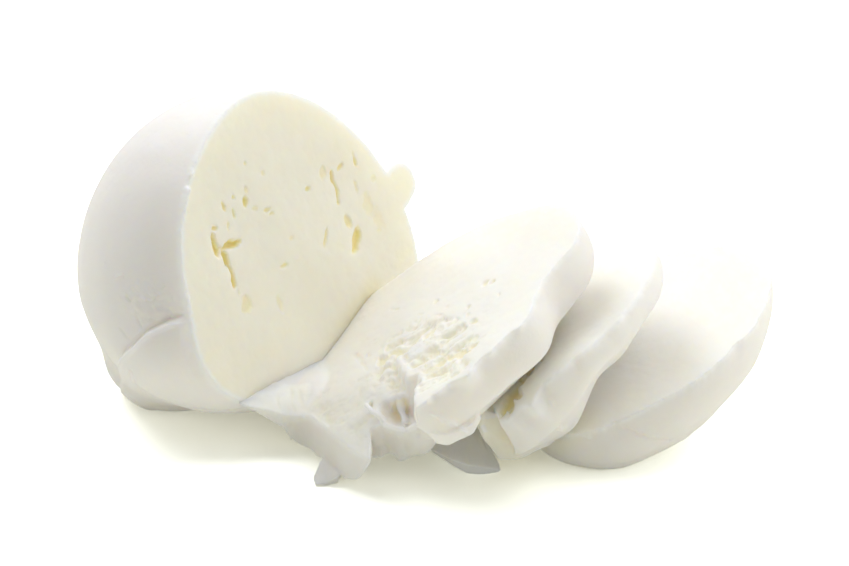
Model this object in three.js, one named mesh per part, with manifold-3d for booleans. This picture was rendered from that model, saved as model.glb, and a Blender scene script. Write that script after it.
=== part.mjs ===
// A ball of fresh mozzarella, cut part of the way through and fanned out.
// The large end stands on its own base. Three slices lean away from its cut face in the order they were cut,
// each on the face of the next: slice_1, slice_2 and slice_3, the domed end. A torn shred of rind lies in front.
// Millimetres, +Z up. X runs along the row, from the uncut end to the domed end, and -Y is the front.
import * as THREE from 'three';
import { mergeVertices } from 'three/addons/utils/BufferGeometryUtils.js';
import Module from 'manifold-3d';

const wasm = await Module();
wasm.setup();

// ---- Driving dimensions ----------------------------------------------------------------------------------------

const GAP = 0.3; // what touching pieces keep between them
const CRUMB = 0.25; // how uneven a knife leaves a face of fresh curd

// The large end: a ball that has sunk under its own weight. Its waist is low and its base is nearly flat.
const BALL = {
  centre: [-37, -51.6],
  radius: 39.1,
  frontToBack: 0.933, // the ball is a little narrower that way
  height: 68.9,
  waistHeight: 26,
  topRoundness: 1.86, // 2 is an ellipse, more is squarer
  baseRoundness: 2.3,
  threeSided: 0.044,
  threeSidedTurn: 17,
  lean: -0.061, // the top leans to the front, per mm of height
  sunk: 0.35, // how far the base is pressed flat
};

// The knife's plane through the ball: turned to the right from the front, and tipped back. The face it leaves is
// dished a little in its middle.
const CUT = { turn: 52.7, tipBack: 19, fromWaist: 15.4, dish: 1.1, dishRadius: 40 };
// What the knife takes away reaches past the ball on every side.
const BEYOND = { reach: 62, height: 120, rings: 9, segments: 30 };

// Each slice lies on a slope. Its frame has X to the front, Y up the slope and Z out of the upper face.
// outline: halfWidth to both sides, upSlope and downSlope, and flats that cut it back around an angle.
// feet: where the rind below is thicker or drawn in. sags: where the curd has torn and drooped.
const SLICES = {
  slice_1: {
    centre: [-1.5, -81.3, 27], heading: 0, slope: 35.7, roll: 0,
    halfWidth: 35, upSlope: 41, downSlope: 31, squareness: 2.5,
    thickness: 10.3, belly: 4.4, taper: 0.07, slump: [0, 0],
    feet: [
      { at: -108, spread: 70, thickness: 9, taper: -0.24 },
      { at: -50, spread: 38, thickness: 9, taper: 0.14 },
    ],
    flats: [
      { at: 65, width: 15, cut: 0.13 },
      { at: 22, width: 14, cut: 0.04 },
      { at: -30, width: 20, cut: 0.13 },
      { at: -92, width: 24, cut: -0.07 },
    ],
    sags: [
      { toward: -35, from: 20, over: 12, drop: 6.5, below: -12.5, above: -99 },
      { toward: 0, from: 26, over: 12, drop: 3, below: 10, above: -12 },
    ],
  },
  slice_2: {
    centre: [22.8, -75, 24.8], heading: -5.4, slope: 34.6, roll: -4.3,
    halfWidth: 30.5, upSlope: 29.5, downSlope: 29, squareness: 2.35,
    thickness: 6, belly: 4.8, taper: 0.03, slump: [0, 0],
    feet: [{ at: -30, spread: 70, thickness: 12.5, taper: 0.08 }],
    flats: [{ at: -64, width: 30, cut: 0.32 }],
    sags: [{ toward: -35, from: 18, over: 14, drop: 4, below: 99, above: -99 }],
  },
  slice_3: {
    centre: [41.6, -65.5, 17], heading: 10.5, slope: 25.1, roll: 1.8,
    halfWidth: 29.5, upSlope: 34.8, downSlope: 26.4, squareness: 2.7,
    thickness: 19, domeRoundness: 2.1, slump: [5, -5], taper: 0, feet: [], flats: [], sags: [],
  },
};

// ---- Small tools -----------------------------------------------------------------------------------------------

const radians = THREE.MathUtils.degToRad;
const smoothstep = THREE.MathUtils.smoothstep;

// Moves every vertex of a geometry to where place() puts it.
function reshape(geometry, place) {
  const positions = geometry.attributes.position;
  const vertex = new THREE.Vector3();
  for (let i = 0; i < positions.count; i += 1) {
    vertex.fromBufferAttribute(positions, i);
    place(vertex, i);
    positions.setXYZ(i, vertex.x, vertex.y, vertex.z);
  }
  return geometry;
}

// A closed solid from a geometry: seams are welded and triangles with no area are left out.
function solidOf(geometry) {
  geometry.deleteAttribute('normal');
  geometry.deleteAttribute('uv');
  const welded = mergeVertices(geometry, 1e-5);
  const corners = welded.index.array;
  const triangles = [];
  for (let i = 0; i < corners.length; i += 3) {
    const [a, b, c] = [corners[i], corners[i + 1], corners[i + 2]];
    if (a !== b && b !== c && c !== a) {
      triangles.push(a, b, c);
    }
  }
  return new wasm.Manifold(new wasm.Mesh({
    numProp: 3,
    vertProperties: new Float32Array(welded.attributes.position.array),
    triVerts: new Uint32Array(triangles),
  }));
}

// A profile turned about the vertical axis, as points [radius, height] from the bottom up.
function turned(profile, segments) {
  const points = profile.map(([radius, height]) => new THREE.Vector2(radius, height));
  return new THREE.LatheGeometry(points, segments).rotateX(Math.PI / 2);
}

// A block with eight named corners: its sides are split and bowed out in the middle.
function block(corners, { split = 4, bow = 0 }) {
  const [a, b, c, d, e, f, g, h] = corners.map((corner) => new THREE.Vector3(...corner));
  const middle = [a, b, c, d, e, f, g, h].reduce((sum, p) => sum.add(p), new THREE.Vector3()).divideScalar(8);
  return reshape(new THREE.BoxGeometry(1, 1, 1, split, split, split), (vertex) => {
    const [x, y, z] = [vertex.x + 0.5, vertex.y + 0.5, vertex.z + 0.5];
    const floor = a.clone().lerp(b, x).lerp(d.clone().lerp(c, x), y);
    const roof = e.clone().lerp(f, x).lerp(h.clone().lerp(g, x), y);
    const round = 1 - Math.max(Math.abs(vertex.x), Math.abs(vertex.y), Math.abs(vertex.z)) * 2;
    const edge = (x * (1 - x) + y * (1 - y) + z * (1 - z)) * 4 - 1 + round;
    vertex.copy(floor.lerp(roof, z));
    vertex.add(vertex.clone().sub(middle).normalize().multiplyScalar(bow * edge));
  });
}

// The rotation whose Z is a face's normal, whose Y runs up its slope and whose X runs to the front.
function slopeFrame({ centre, heading, slope, roll }) {
  const [turn, steep] = [radians(heading), radians(slope)];
  const normal = new THREE.Vector3(
    -Math.cos(turn) * Math.sin(steep), -Math.sin(turn) * Math.sin(steep), Math.cos(steep));
  const up = new THREE.Vector3(0, 0, 1).addScaledVector(normal, -normal.z).normalize();
  const across = up.clone().cross(normal);
  const frame = new THREE.Matrix4().makeBasis(across, up, normal);
  frame.multiply(new THREE.Matrix4().makeRotationZ(radians(roll)));
  return frame.setPosition(...centre);
}

// Two slow waves that run over a surface and make it as uneven as soft curd is.
function uneven(x, y, size) {
  return size * (Math.sin(x * 0.21 + y * 0.13) + Math.sin(y * 0.29 - x * 0.17 + 1.3)) / 2;
}

// ---- The large end ---------------------------------------------------------------------------------------------

function ballMeridian(steps) {
  const { height, waistHeight, topRoundness, baseRoundness } = BALL;
  const profile = [];
  for (let i = 0; i <= steps; i += 1) {
    const angle = Math.PI * (i / steps - 0.5);
    const [side, rise] = [Math.max(Math.cos(angle), 0), Math.abs(Math.sin(angle))];
    const power = 2 / (angle < 0 ? baseRoundness : topRoundness);
    const reach = angle < 0 ? -waistHeight : height - waistHeight;
    profile.push([i % steps === 0 ? 0 : side ** power, waistHeight + reach * rise ** power]);
  }
  return profile;
}

// The whole ball before it was cut, made larger all round by grow.
function wholeBall(grow, segments = 56, steps = 24) {
  const { centre, radius, frontToBack, waistHeight, threeSided, threeSidedTurn, lean, sunk } = BALL;
  return reshape(turned(ballMeridian(steps), segments), (vertex) => {
    const turn = Math.atan2(vertex.y, vertex.x);
    const spread = (radius + grow) * (1 + threeSided * Math.cos(3 * (turn - radians(threeSidedTurn))));
    vertex.x = centre[0] + vertex.x * spread;
    vertex.y = centre[1] + vertex.y * spread * frontToBack + lean * (vertex.z - waistHeight);
    vertex.z = vertex.z - sunk;
  });
}

const cutNormal = new THREE.Vector3(
  Math.sin(radians(CUT.turn)) * Math.cos(radians(CUT.tipBack)),
  -Math.cos(radians(CUT.turn)) * Math.cos(radians(CUT.tipBack)),
  Math.sin(radians(CUT.tipBack)));
const cutCentre = new THREE.Vector3(BALL.centre[0], BALL.centre[1], BALL.waistHeight)
  .addScaledVector(cutNormal, CUT.fromWaist);
const cutFrame = new THREE.Matrix4().lookAt(cutNormal, new THREE.Vector3(), new THREE.Vector3(0, 0, 1))
  .setPosition(cutCentre);

// How deep the cut face is dished at a distance from its middle.
function dishAt(radius) {
  return CUT.dish * Math.max(1 - (radius / CUT.dishRadius) ** 2, 0);
}

// What the knife takes away: everything beyond the cut.
function beyondCut(offset) {
  const { reach, height, rings, segments } = BEYOND;
  const profile = [];
  for (let i = 0; i <= rings; i += 1) {
    const radius = reach * i / rings;
    profile.push([radius, offset - dishAt(radius)]);
  }
  profile.push([reach, height], [0, height]);
  const slab = reshape(turned(profile, segments), (vertex) => {
    vertex.z += vertex.z < height / 2 ? uneven(vertex.x, vertex.y, CRUMB) : 0;
  });
  return solidOf(slab.applyMatrix4(cutFrame));
}

// An egg shape with half-widths along its own axes, turned about the vertical, made larger all round by grow.
function egg({ centre, halves, turn }, grow, segments) {
  const shape = new THREE.SphereGeometry(1, segments, Math.round(segments * 0.75)).rotateX(Math.PI / 2);
  shape.scale(...halves.map((half) => half + grow)).rotateZ(radians(turn)).translate(...centre);
  return solidOf(shape);
}

// A fold of skin over the front of the base, and the stub where the ball was nipped off the rope of curd.
const FOLD = { centre: [-43.7, -64.8, 24.2], halves: [23.7, 26, 21.6], turn: 25 };
const ROLL = { centre: [-54.3, -55, 7], halves: [15.5, 14, 8.5], turn: 0 };
const STUB = { centre: [-6.2, -28.6, 37.2], halves: [5.2, 5.8, 4.8], turn: 40 };

function cutBall(grow) {
  const body = solidOf(wholeBall(grow))
    .add(egg(FOLD, grow, 30)).add(egg(ROLL, grow, 20)).add(egg(STUB, grow, 12));
  return body.subtract(beyondCut(grow));
}

// Open holes in the cut face: where they are on it, across and up, and their half-widths and depth.
const HOLES = [
  { at: [-17.9, 12.4], halves: [3.4, 1.2], turn: 20, depth: 3 },
  { at: [-19.7, 9.6], halves: [1.1, 3.4], turn: 10, depth: 3.6 },
  { at: [-19.6, 5.2], halves: [0.9, 2.2], turn: 12, depth: 2.6 },
  { at: [-22.0, 13.4], halves: [0.9, 2.6], turn: 8, depth: 2.6 },
  { at: [-17.4, -0.4], halves: [1.8, 2.0], turn: 0, depth: 1.6 },
  { at: [-9.9, 18.9], halves: [1.1, 1.4], turn: 0, depth: 2.4 },
  { at: [17.5, 13.4], halves: [1.2, 4.0], turn: -4, depth: 2.0 },
  { at: [19.9, 0.8], halves: [1.5, 3.8], turn: -16, depth: 2.2 },
];

function hole({ at, halves, turn, depth }) {
  const shape = new THREE.SphereGeometry(1, 10, 7).scale(halves[0], halves[1], depth);
  shape.rotateZ(radians(turn)).translate(at[0], at[1], -dishAt(Math.hypot(...at)));
  return solidOf(shape.applyMatrix4(cutFrame));
}

// ---- The slices ------------------------------------------------------------------------------------------------

const SLICE_SEGMENTS = 56;
const FOOT_MIDDLE = 14; // a foot is at its full strength within this many degrees
const TORN_STEP = 4; // the length over which a droop begins and ends across the slice
const EDGE_RADIUS = 0.4; // the knife leaves this small round between face and rind

// How far a slice reaches from the middle of its face towards an angle, which is 0 to the front and 90 upslope.
function outline(slice, angle, grow) {
  const [side, rise] = [Math.cos(angle), Math.sin(angle)];
  const reach = rise > 0 ? slice.upSlope : slice.downSlope;
  const power = rise > 0 ? 2 : slice.squareness;
  let radius = (Math.abs(side / slice.halfWidth) ** power + Math.abs(rise / reach) ** power) ** (-1 / power);
  for (const { at, width, cut } of slice.flats) {
    const away = THREE.MathUtils.euclideanModulo(THREE.MathUtils.radToDeg(angle) - at + 180, 360) - 180;
    radius *= 1 - cut * Math.exp(-((away / width) ** 2));
  }
  return radius + grow;
}

// How far a slice has drooped, or torn and dropped, at a point of its face.
function droop(slice, x, y) {
  return slice.sags.reduce((sum, { toward, from, over, drop, below, above }) => {
    const far = x * Math.cos(radians(toward)) + y * Math.sin(radians(toward));
    const here = smoothstep(below - y, 0, TORN_STEP) * smoothstep(y - above, 0, TORN_STEP);
    return sum + drop * smoothstep(far, from, from + over) * here;
  }, 0);
}

// A slice from a profile of [share of the outline, depth below the face, share of the taper] rows.
function slice(spec, profile, grow) {
  return solidOf(reshape(turned(profile, SLICE_SEGMENTS), (vertex, index) => {
    const taper = profile[index % profile.length][2];
    const share = Math.hypot(vertex.x, vertex.y);
    const angle = Math.atan2(vertex.y, vertex.x);
    let [narrowing, thickening] = [spec.taper, 1];
    for (const foot of spec.feet) {
      const [edge, middle] = [Math.cos(radians(foot.spread)), Math.cos(radians(FOOT_MIDDLE))];
      const here = smoothstep(Math.cos(angle - radians(foot.at)), edge, middle);
      narrowing += here * foot.taper;
      thickening += here * share * (foot.thickness / spec.thickness - 1);
    }
    const radius = share * outline(spec, angle, grow) * (1 - taper * narrowing);
    const depth = -vertex.z / spec.thickness;
    vertex.x = Math.cos(angle) * radius + spec.slump[0] * depth;
    vertex.y = Math.sin(angle) * radius + spec.slump[1] * depth;
    vertex.z *= depth > 0 ? thickening : 1;
    vertex.z += uneven(vertex.x, vertex.y, CRUMB) - droop(spec, vertex.x, vertex.y);
  }).applyMatrix4(slopeFrame(spec)));
}

// A flat slice: a flat face, a rind that swells a little, and a belly that settles onto what is below.
function flatSlice(spec, grow = 0) {
  const under = -spec.thickness - grow;
  const belly = under - spec.belly;
  return slice(spec, [
    [0, belly, 1], [0.3, belly, 1], [0.6, belly, 1], [0.82, under - spec.belly * 0.4, 1],
    [0.94, under, 1], [0.99, under * 0.92, 1], [1.015, under * 0.65, 0.65], [1.015, under * 0.3, 0.3],
    [1, grow - EDGE_RADIUS, 0], [0.985, grow, 0], [0.8, grow, 0], [0.55, grow, 0], [0.28, grow, 0], [0, grow, 0],
  ], grow);
}

// The end slice: a flat face with the ball's own round end below it.
function domedSlice(spec, grow = 0) {
  const profile = [];
  const steps = 9;
  for (let i = 0; i <= steps; i += 1) {
    const angle = (Math.PI / 2) * (1 - i / steps);
    const power = 2 / spec.domeRoundness;
    const share = i === 0 ? 0 : Math.cos(angle) ** power;
    profile.push([share, -(spec.thickness + grow) * Math.sin(angle) ** power, 0]);
  }
  profile[steps][1] = grow - EDGE_RADIUS;
  profile.push([0.985, grow, 0], [0.7, grow, 0], [0.35, grow, 0], [0, grow, 0]);
  return slice(spec, profile, grow);
}

// ---- Torn ends -------------------------------------------------------------------------------------------------

// The last of the base that the knife didn't part: it still ties the first slice to the ball.
const WEB = [
  [-37, -78, 5], [-28, -78, -1], [-22, -66, -1], [-33, -62, 1],
  [-39, -86.5, 13.5], [-27, -87, 8.5], [-19, -75, 12.5], [-26.5, -74, 12],
];
// A pointed flap of rind folded out of the foot of the first slice, flat on the board.
const FLAP = [
  [-22.6, -98.8, -1], [-21.2, -98.6, -1], [-16, -88, -1], [-22, -86, -1],
  [-22.2, -98.6, 0.9], [-21.4, -98.2, 0.9], [-17, -89, 4.5], [-21.8, -86, 4.5],
];
// The shred of rind in front of the slices.
const SHRED = [
  [3.2, -88.5, -1], [14, -92.5, -1], [13, -80, -1], [3, -78, -1],
  [1.6, -91, 6.5], [15.4, -91.2, 0.6], [12.6, -90, 6.5], [3, -84, 9],
];
// The first slice is torn at the front. A crack runs right through it and lets its near corner droop, and beside
// the crack a bay is torn out of its face. Each is a wedge: its head, where its two sides end at the front, and
// how deep its floor is at the head and at the front.
const TEARS = [
  { head: [13, -15], left: -33, right: -16.5, deep: [30, 30] },
  { head: [12, -14], left: -17.5, right: -1.5, deep: [1.5, 7] },
];
const TEAR_FRONT = 46;
const TEAR_TOP = 20; // above every point of the face
const TEAR_TEETH = { count: 5, bite: 1.2 };

function tear({ head, left, right, deep }) {
  const { count, bite } = TEAR_TEETH;
  const edge = new THREE.Shape().moveTo(...head);
  for (let i = 1; i <= 2 * count; i += 1) {
    const outward = i <= count;
    const step = outward ? i / count : 2 - (i - 1) / count;
    const side = THREE.MathUtils.lerp(head[1], outward ? left : right, step);
    edge.lineTo(THREE.MathUtils.lerp(head[0], TEAR_FRONT, step), side + (i % 2 ? bite : -bite) * Math.sqrt(step));
  }
  const wedge = new THREE.ExtrudeGeometry(edge, { depth: 1, bevelEnabled: false });
  return solidOf(reshape(wedge, (vertex) => {
    const out = (vertex.x - head[0]) / (TEAR_FRONT - head[0]);
    vertex.z = vertex.z > 0.5 ? TEAR_TOP : -THREE.MathUtils.lerp(...deep, out);
  }).applyMatrix4(slopeFrame(SLICES.slice_1)));
}

// ---- The whole -------------------------------------------------------------------------------------------------

// Everything under the board's surface is pressed flat, so each piece stands on a flat spot.
const BOARD = { side: 400, thickness: 40 };

function standing(solid) {
  const { side, thickness } = BOARD;
  const board = new THREE.BoxGeometry(side, side, thickness).translate(0, 0, -thickness / 2);
  return solid.subtract(solidOf(board));
}

function largest(solid) {
  return solid.decompose().sort((one, other) => other.volume() - one.volume())[0];
}

function pieces() {
  const { slice_1: first, slice_2: second, slice_3: third } = SLICES;
  const web = solidOf(block(WEB, { bow: 0.8 }));
  const flap = solidOf(block(FLAP, { bow: 0.3, split: 3 }));
  const ball = HOLES.reduce((solid, spec) => solid.subtract(hole(spec)), cutBall(0));
  const slice3 = domedSlice(third);
  const slice2 = flatSlice(second).subtract(domedSlice(third, GAP));
  const torn = TEARS.reduce((solid, wedge) => solid.subtract(tear(wedge)), flatSlice(first));
  const slice1 = torn.add(web).add(flap)
    .subtract(flatSlice(second, GAP)).subtract(cutBall(GAP));
  const shred = solidOf(block(SHRED, { bow: 1 }))
    .subtract(flatSlice(second, GAP)).subtract(flatSlice(first, GAP).add(web).add(flap));
  return { ball, slice_1: slice1, slice_2: slice2, slice_3: slice3, torn_shred: shred };
}

// Matt, milky white curd: cream on the large end, nearly white on the slices.
const LOOKS = {
  ball: '#efead8', slice_1: '#faf7ef', slice_2: '#f8f5ec', slice_3: '#f8f5ee', torn_shred: '#f3f1e6',
};

function geometryOf(solid) {
  const { vertProperties, triVerts } = solid.getMesh();
  const geometry = new THREE.BufferGeometry();
  geometry.setAttribute('position', new THREE.Float32BufferAttribute(vertProperties, 3));
  return geometry.setIndex(Array.from(triVerts));
}

const group = new THREE.Group();
for (const [name, solid] of Object.entries(pieces())) {
  const look = new THREE.MeshStandardMaterial({ color: LOOKS[name], roughness: 0.5, metalness: 0 });
  const mesh = new THREE.Mesh(geometryOf(largest(standing(solid))), look);
  mesh.name = name;
  group.add(mesh);
}

// The origin is under the middle of the whole row.
const reach = new THREE.Box3().setFromObject(group);
group.position.set(-(reach.min.x + reach.max.x) / 2, -(reach.min.y + reach.max.y) / 2, -reach.min.z);

export default group;
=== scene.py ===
# %% [markdown]
# # A ball of fresh mozzarella, cut part of the way through
# The cheese is one ball. Its large end still stands on its own base, and three slices lean away from the cut
# face like books that have slid down a shelf. A torn shred of rind lies in front of them. Fresh curd is white,
# soft and wet: light goes a little way in before it comes out again, the skin is smooth and faintly shiny, and a
# knife leaves a matt, uneven face with small holes where whey was trapped.
#
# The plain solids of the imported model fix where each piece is. This lesson models each piece again in fine
# mesh, on the same named sizes, and adds what soft curd does: folds, torn edges, holes and crumbs.

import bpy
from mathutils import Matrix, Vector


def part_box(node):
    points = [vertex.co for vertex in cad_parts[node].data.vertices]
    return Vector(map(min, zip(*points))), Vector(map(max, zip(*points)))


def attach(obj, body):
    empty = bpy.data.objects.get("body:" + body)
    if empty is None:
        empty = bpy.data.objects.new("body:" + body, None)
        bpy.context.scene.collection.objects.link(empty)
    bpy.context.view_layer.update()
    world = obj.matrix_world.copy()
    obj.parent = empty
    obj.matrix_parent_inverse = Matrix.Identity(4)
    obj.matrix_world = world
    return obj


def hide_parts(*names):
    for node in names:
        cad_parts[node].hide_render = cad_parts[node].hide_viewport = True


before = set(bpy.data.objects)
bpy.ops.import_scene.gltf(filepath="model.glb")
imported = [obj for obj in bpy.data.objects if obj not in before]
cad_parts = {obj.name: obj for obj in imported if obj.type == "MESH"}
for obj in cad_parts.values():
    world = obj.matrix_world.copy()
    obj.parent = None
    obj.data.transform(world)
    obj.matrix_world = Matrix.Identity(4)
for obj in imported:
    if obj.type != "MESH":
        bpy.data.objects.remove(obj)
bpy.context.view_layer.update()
print("nodes:", sorted(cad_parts))

# %% Tools of the lesson
import math

import bmesh
import bpy
import numpy as np
from mathutils import Matrix, Vector
from mathutils.kdtree import KDTree

MM = 0.001  # everything is drawn in millimetres and turned into metres at the end
ROW_ORIGIN = np.array([0.938, 65.942, 0.0])  # from the drawing's own axes to the row's origin on the board

# %% [markdown]
# ## Noise
# No two square millimetres of curd are alike, so nearly every form below is disturbed by noise. A Displace
# modifier could do it with a texture, but it can't tell a cut face from a rind. Here noise is a function of a
# place in space: random numbers on the corners of a grid, drawn once from a fixed seed and blended smoothly in
# between. Calling it with vertex positions gives one value for each vertex.

# %% Smooth noise on a seeded lattice
LATTICE_SIDE = 32
LATTICE = np.random.default_rng(11).random((LATTICE_SIDE,) * 3)
TILT = np.array(Matrix.Rotation(0.7, 3, (0.3, 0.8, 0.5)))  # turns the grid away from the row's axes


def noise(places, size, seed=0):
    """Noise from -1 to 1 with bumps about size across."""
    grid = np.asarray(places) @ TILT / np.asarray(size) + seed * 5.37
    cell = np.floor(grid).astype(int)
    part = grid - cell
    part = part * part * (3 - 2 * part)
    total = np.zeros(len(grid))
    for corner in np.ndindex(2, 2, 2):
        weight = np.prod(np.where(corner, part, 1 - part), axis=1)
        i, j, k = ((cell + corner) % LATTICE_SIDE).T
        total += weight * LATTICE[i, j, k]
    return total * 2 - 1


def fractal(places, size, octaves=3, seed=0):
    """Noise of several sizes, each half as large and half as strong as the one before."""
    layers = [noise(places, size / 2**n, seed + n) / 2**n for n in range(octaves)]
    return sum(layers) / (2 - 2 ** (1 - octaves))


def smoothstep(value, low, high):
    part = np.clip((np.asarray(value, float) - low) / (high - low), 0, 1)
    return part * part * (3 - 2 * part)


print("lattice mean", round(float(LATTICE.mean()), 4))

# %% [markdown]
# ## Building blocks
# A ball and its slices are all round forms turned about an axis and then pushed out of shape, so one helper
# makes a closed lathe form as plain arrays. Another joins and cuts such forms with Boolean modifiers, and lays
# an even net of small quads over the result with a voxel Remesh. Even quads matter here: all the fine relief is
# made afterwards by moving vertices, and they have to be there to be moved.

# %% Closed forms turned about an axis
LUMP_SIZE = 4.0  # how wide the lumps of an uneven egg are


def walls(rings):
    """Quads between rings of point numbers that lie one above another."""
    faces = []
    for ring, above in zip(rings, rings[1:]):
        faces += zip(ring, np.roll(ring, -1), np.roll(above, -1), above)
    return faces


def closed(rings, lowest, highest):
    """Faces of a closed body of rings, with one middle point under the first ring and one over the last."""
    under = [(lowest, b, a) for a, b in zip(rings[0], np.roll(rings[0], -1))]
    over = [(highest, a, b) for a, b in zip(rings[-1], np.roll(rings[-1], -1))]
    return under + walls(rings) + over


def turned(profile, segments):
    """Points, faces and each point's row for a profile of (radius, height) rows that starts and ends on the axis."""
    profile = np.asarray(profile, float)
    turns = 2 * np.pi * np.arange(segments) / segments
    radius, height = profile[1:-1, 0], profile[1:-1, 1]
    rings = np.stack([
        np.outer(radius, np.cos(turns)),
        np.outer(radius, np.sin(turns)),
        np.outer(height, np.ones(segments)),
    ], axis=-1).reshape(-1, 3)
    points = np.vstack([[0, 0, profile[0, 1]], rings, [0, 0, profile[-1, 1]]])
    inner = np.arange(1, len(profile) - 1)
    rows = np.concatenate([[0], np.repeat(inner, segments), [len(profile) - 1]])
    numbers = np.arange(1, len(points) - 1).reshape(-1, segments)
    return points, closed(numbers, 0, len(points) - 1), rows


def solid(name, points, faces):
    """An object made of points and faces."""
    mesh = bpy.data.meshes.new(name)
    mesh.from_pydata(np.asarray(points).tolist(), [], [tuple(map(int, face)) for face in faces])
    made = bpy.data.objects.new(name, mesh)
    bpy.context.scene.collection.objects.link(made)
    return made


def egg(name, centre, halves, turn, segments, lumpy=0.0):
    """An egg shape with half-widths along its own axes, turned about the vertical, lumpy by noise."""
    angles = np.pi * (np.arange(segments // 2 + 1) / (segments // 2) - 0.5)
    profile = np.stack([np.cos(angles), np.sin(angles)], axis=1)
    points, faces, _ = turned(profile, segments)
    points = points * halves
    points = points * (1 + lumpy * noise(points, LUMP_SIZE, seed=3) / np.mean(halves))[:, None]
    spin = np.array(Matrix.Rotation(math.radians(turn), 3, "Z"))
    return solid(name, points @ spin.T + centre, faces)


def closed_curve(corners, steps=6, round_off=0.5):
    """A closed curve through corners. Round_off 0 keeps straight sides between them, 1 is a full Catmull-Rom."""
    # pull and push are the curve's directions where a stretch starts and where it ends
    corners = np.asarray(corners, float)
    before, after, beyond = (np.roll(corners, -n, axis=0) for n in (-1, 1, 2))
    pull, push = (after - before) / 2 * round_off, (beyond - corners) / 2 * round_off
    straight = (after - corners) * (1 - round_off)
    pull, push = pull + straight, push + straight
    curve = []
    for t in np.arange(steps) / steps:
        a, b = 2 * t**3 - 3 * t**2 + 1, t**3 - 2 * t**2 + t
        c, d = 3 * t**2 - 2 * t**3, t**3 - t**2
        curve.append(a * corners + b * pull + c * after + d * push)
    return np.stack(curve, axis=1).reshape(-1, corners.shape[1])


def lump(name, rings, tip=None, ragged=0.0, steps=6, round_off=0.5, grow=0.0):
    """A closed body through rings of corners, from the lowest up. A tip closes its top in the middle."""
    curves = [closed_curve(ring, steps, round_off) for ring in rings]
    if grow:
        away = [curve - curve.mean(axis=0) for curve in curves]
        curves = [curve + grow * out / np.linalg.norm(out, axis=1)[:, None] for curve, out in zip(curves, away)]
    points = np.vstack(curves)
    points = points + ragged * np.column_stack([fractal(points, 2.6, 3, seed) for seed in (41, 42, 43)])
    points = np.vstack([points, curves[0].mean(axis=0), curves[-1].mean(axis=0) if tip is None else tip])
    numbers = np.arange(len(points) - 2).reshape(len(curves), -1)
    return solid(name, points, closed(numbers, len(points) - 2, len(points) - 1))


# %% Joining, cutting and remeshing
NET_SIZE = 0.33  # the width of a quad, fine enough for crumbs and torn edges
FINE_NET, COARSE_NET = 0.25, 0.8  # for the small shred, and for a ball that only keeps others clear of it


def settle(made):
    """Applies every modifier of an object."""
    graph = bpy.context.evaluated_depsgraph_get()
    mesh = bpy.data.meshes.new_from_object(made.evaluated_get(graph))
    made.modifiers.clear()
    old, made.data = made.data, mesh
    bpy.data.meshes.remove(old)
    return made


def combine(made, operation, tools):
    """Adds one Boolean modifier for each tool."""
    for tool in tools:
        step = made.modifiers.new(tool.name, "BOOLEAN")
        step.operation = operation
        step.object = tool
        step.solver = "MANIFOLD"


def clear_away(tools):
    for tool in tools:
        bpy.data.objects.remove(tool)


def trim(made, *tools):
    """Cuts forms out of a form and leaves its own faces as they are."""
    combine(made, "DIFFERENCE", tools)
    settle(made)
    clear_away(tools)
    return made


def carve(made, join=(), cut=(), voxel=NET_SIZE, soften=2):
    """Joins forms to a form, cuts others out of it and covers the result with an even, softened net of quads."""
    combine(made, "UNION", join)
    combine(made, "DIFFERENCE", cut)
    net = made.modifiers.new("net", "REMESH")
    net.mode = "VOXEL"
    net.voxel_size = voxel
    smooth = made.modifiers.new("soften", "SMOOTH")
    smooth.factor = 0.5
    smooth.iterations = soften
    settle(made)
    clear_away([*join, *cut])
    return made


# %% Reading and moving vertices, and storing masks


def rows_of(items, what, width, kind=float):
    """One row of numbers for each item of a mesh."""
    flat = np.empty(len(items) * width, kind)
    items.foreach_get(what, flat)
    return flat.reshape(-1, width)


def places_of(made):
    return rows_of(made.data.vertices, "co", 3)


def normals_of(made):
    return rows_of(made.data.vertex_normals, "vector", 3)


def edges_of(made):
    return rows_of(made.data.edges, "vertices", 2, int)


def move_to(made, places):
    made.data.vertices.foreach_set("co", np.ascontiguousarray(places, float).ravel())
    made.data.update()


def keep_mask(made, name, values):
    """Stores one value for each vertex, for the materials to read."""
    if name not in made.data.attributes:
        made.data.attributes.new(name, "FLOAT", "POINT")
    made.data.attributes[name].data.foreach_set("value", np.clip(np.asarray(values, np.float32), 0, 1))


def melt(made, weight, rounds):
    """Lets a coarse net relax where the weight is 1, as soft curd sags and closes a crease."""
    places, (one, other) = places_of(made), edges_of(made).T
    count = np.bincount(np.concatenate([one, other]), minlength=len(places))[:, None]
    for _ in range(rounds):
        total = np.zeros_like(places)
        np.add.at(total, one, places[other])
        np.add.at(total, other, places[one])
        places = places + 0.5 * weight[:, None] * (total / count - places)
    move_to(made, places)
    return made


def distance_to(places, targets):
    """How far each place is from the nearest target."""
    tree = KDTree(len(targets))
    for index, target in enumerate(targets):
        tree.insert(target, index)
    tree.balance()
    return np.array([tree.find(place)[2] for place in places])


def distance_to_edge(made, inside):
    """How far each vertex is from the border of a region of the surface."""
    places = places_of(made)
    one, other = edges_of(made).T
    border = np.unique(np.concatenate([one, other])[np.tile(inside[one] != inside[other], 2)])
    return distance_to(places, places[border])


# %% [markdown]
# ## Marks in a face
# Holes, cracks and torn bays are drawn on a face like marks on paper: each is a place across and up the face, a
# half-width both ways, a turn and a depth. The depth field adds them up and roughens their outlines with noise,
# so no hole is a perfect ellipse. A crack is a chain of points with a width. Most vertices are far from any
# mark, so each mark is worked out only for those near it, which makes the whole field many times faster.

# %% Depth fields


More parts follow.
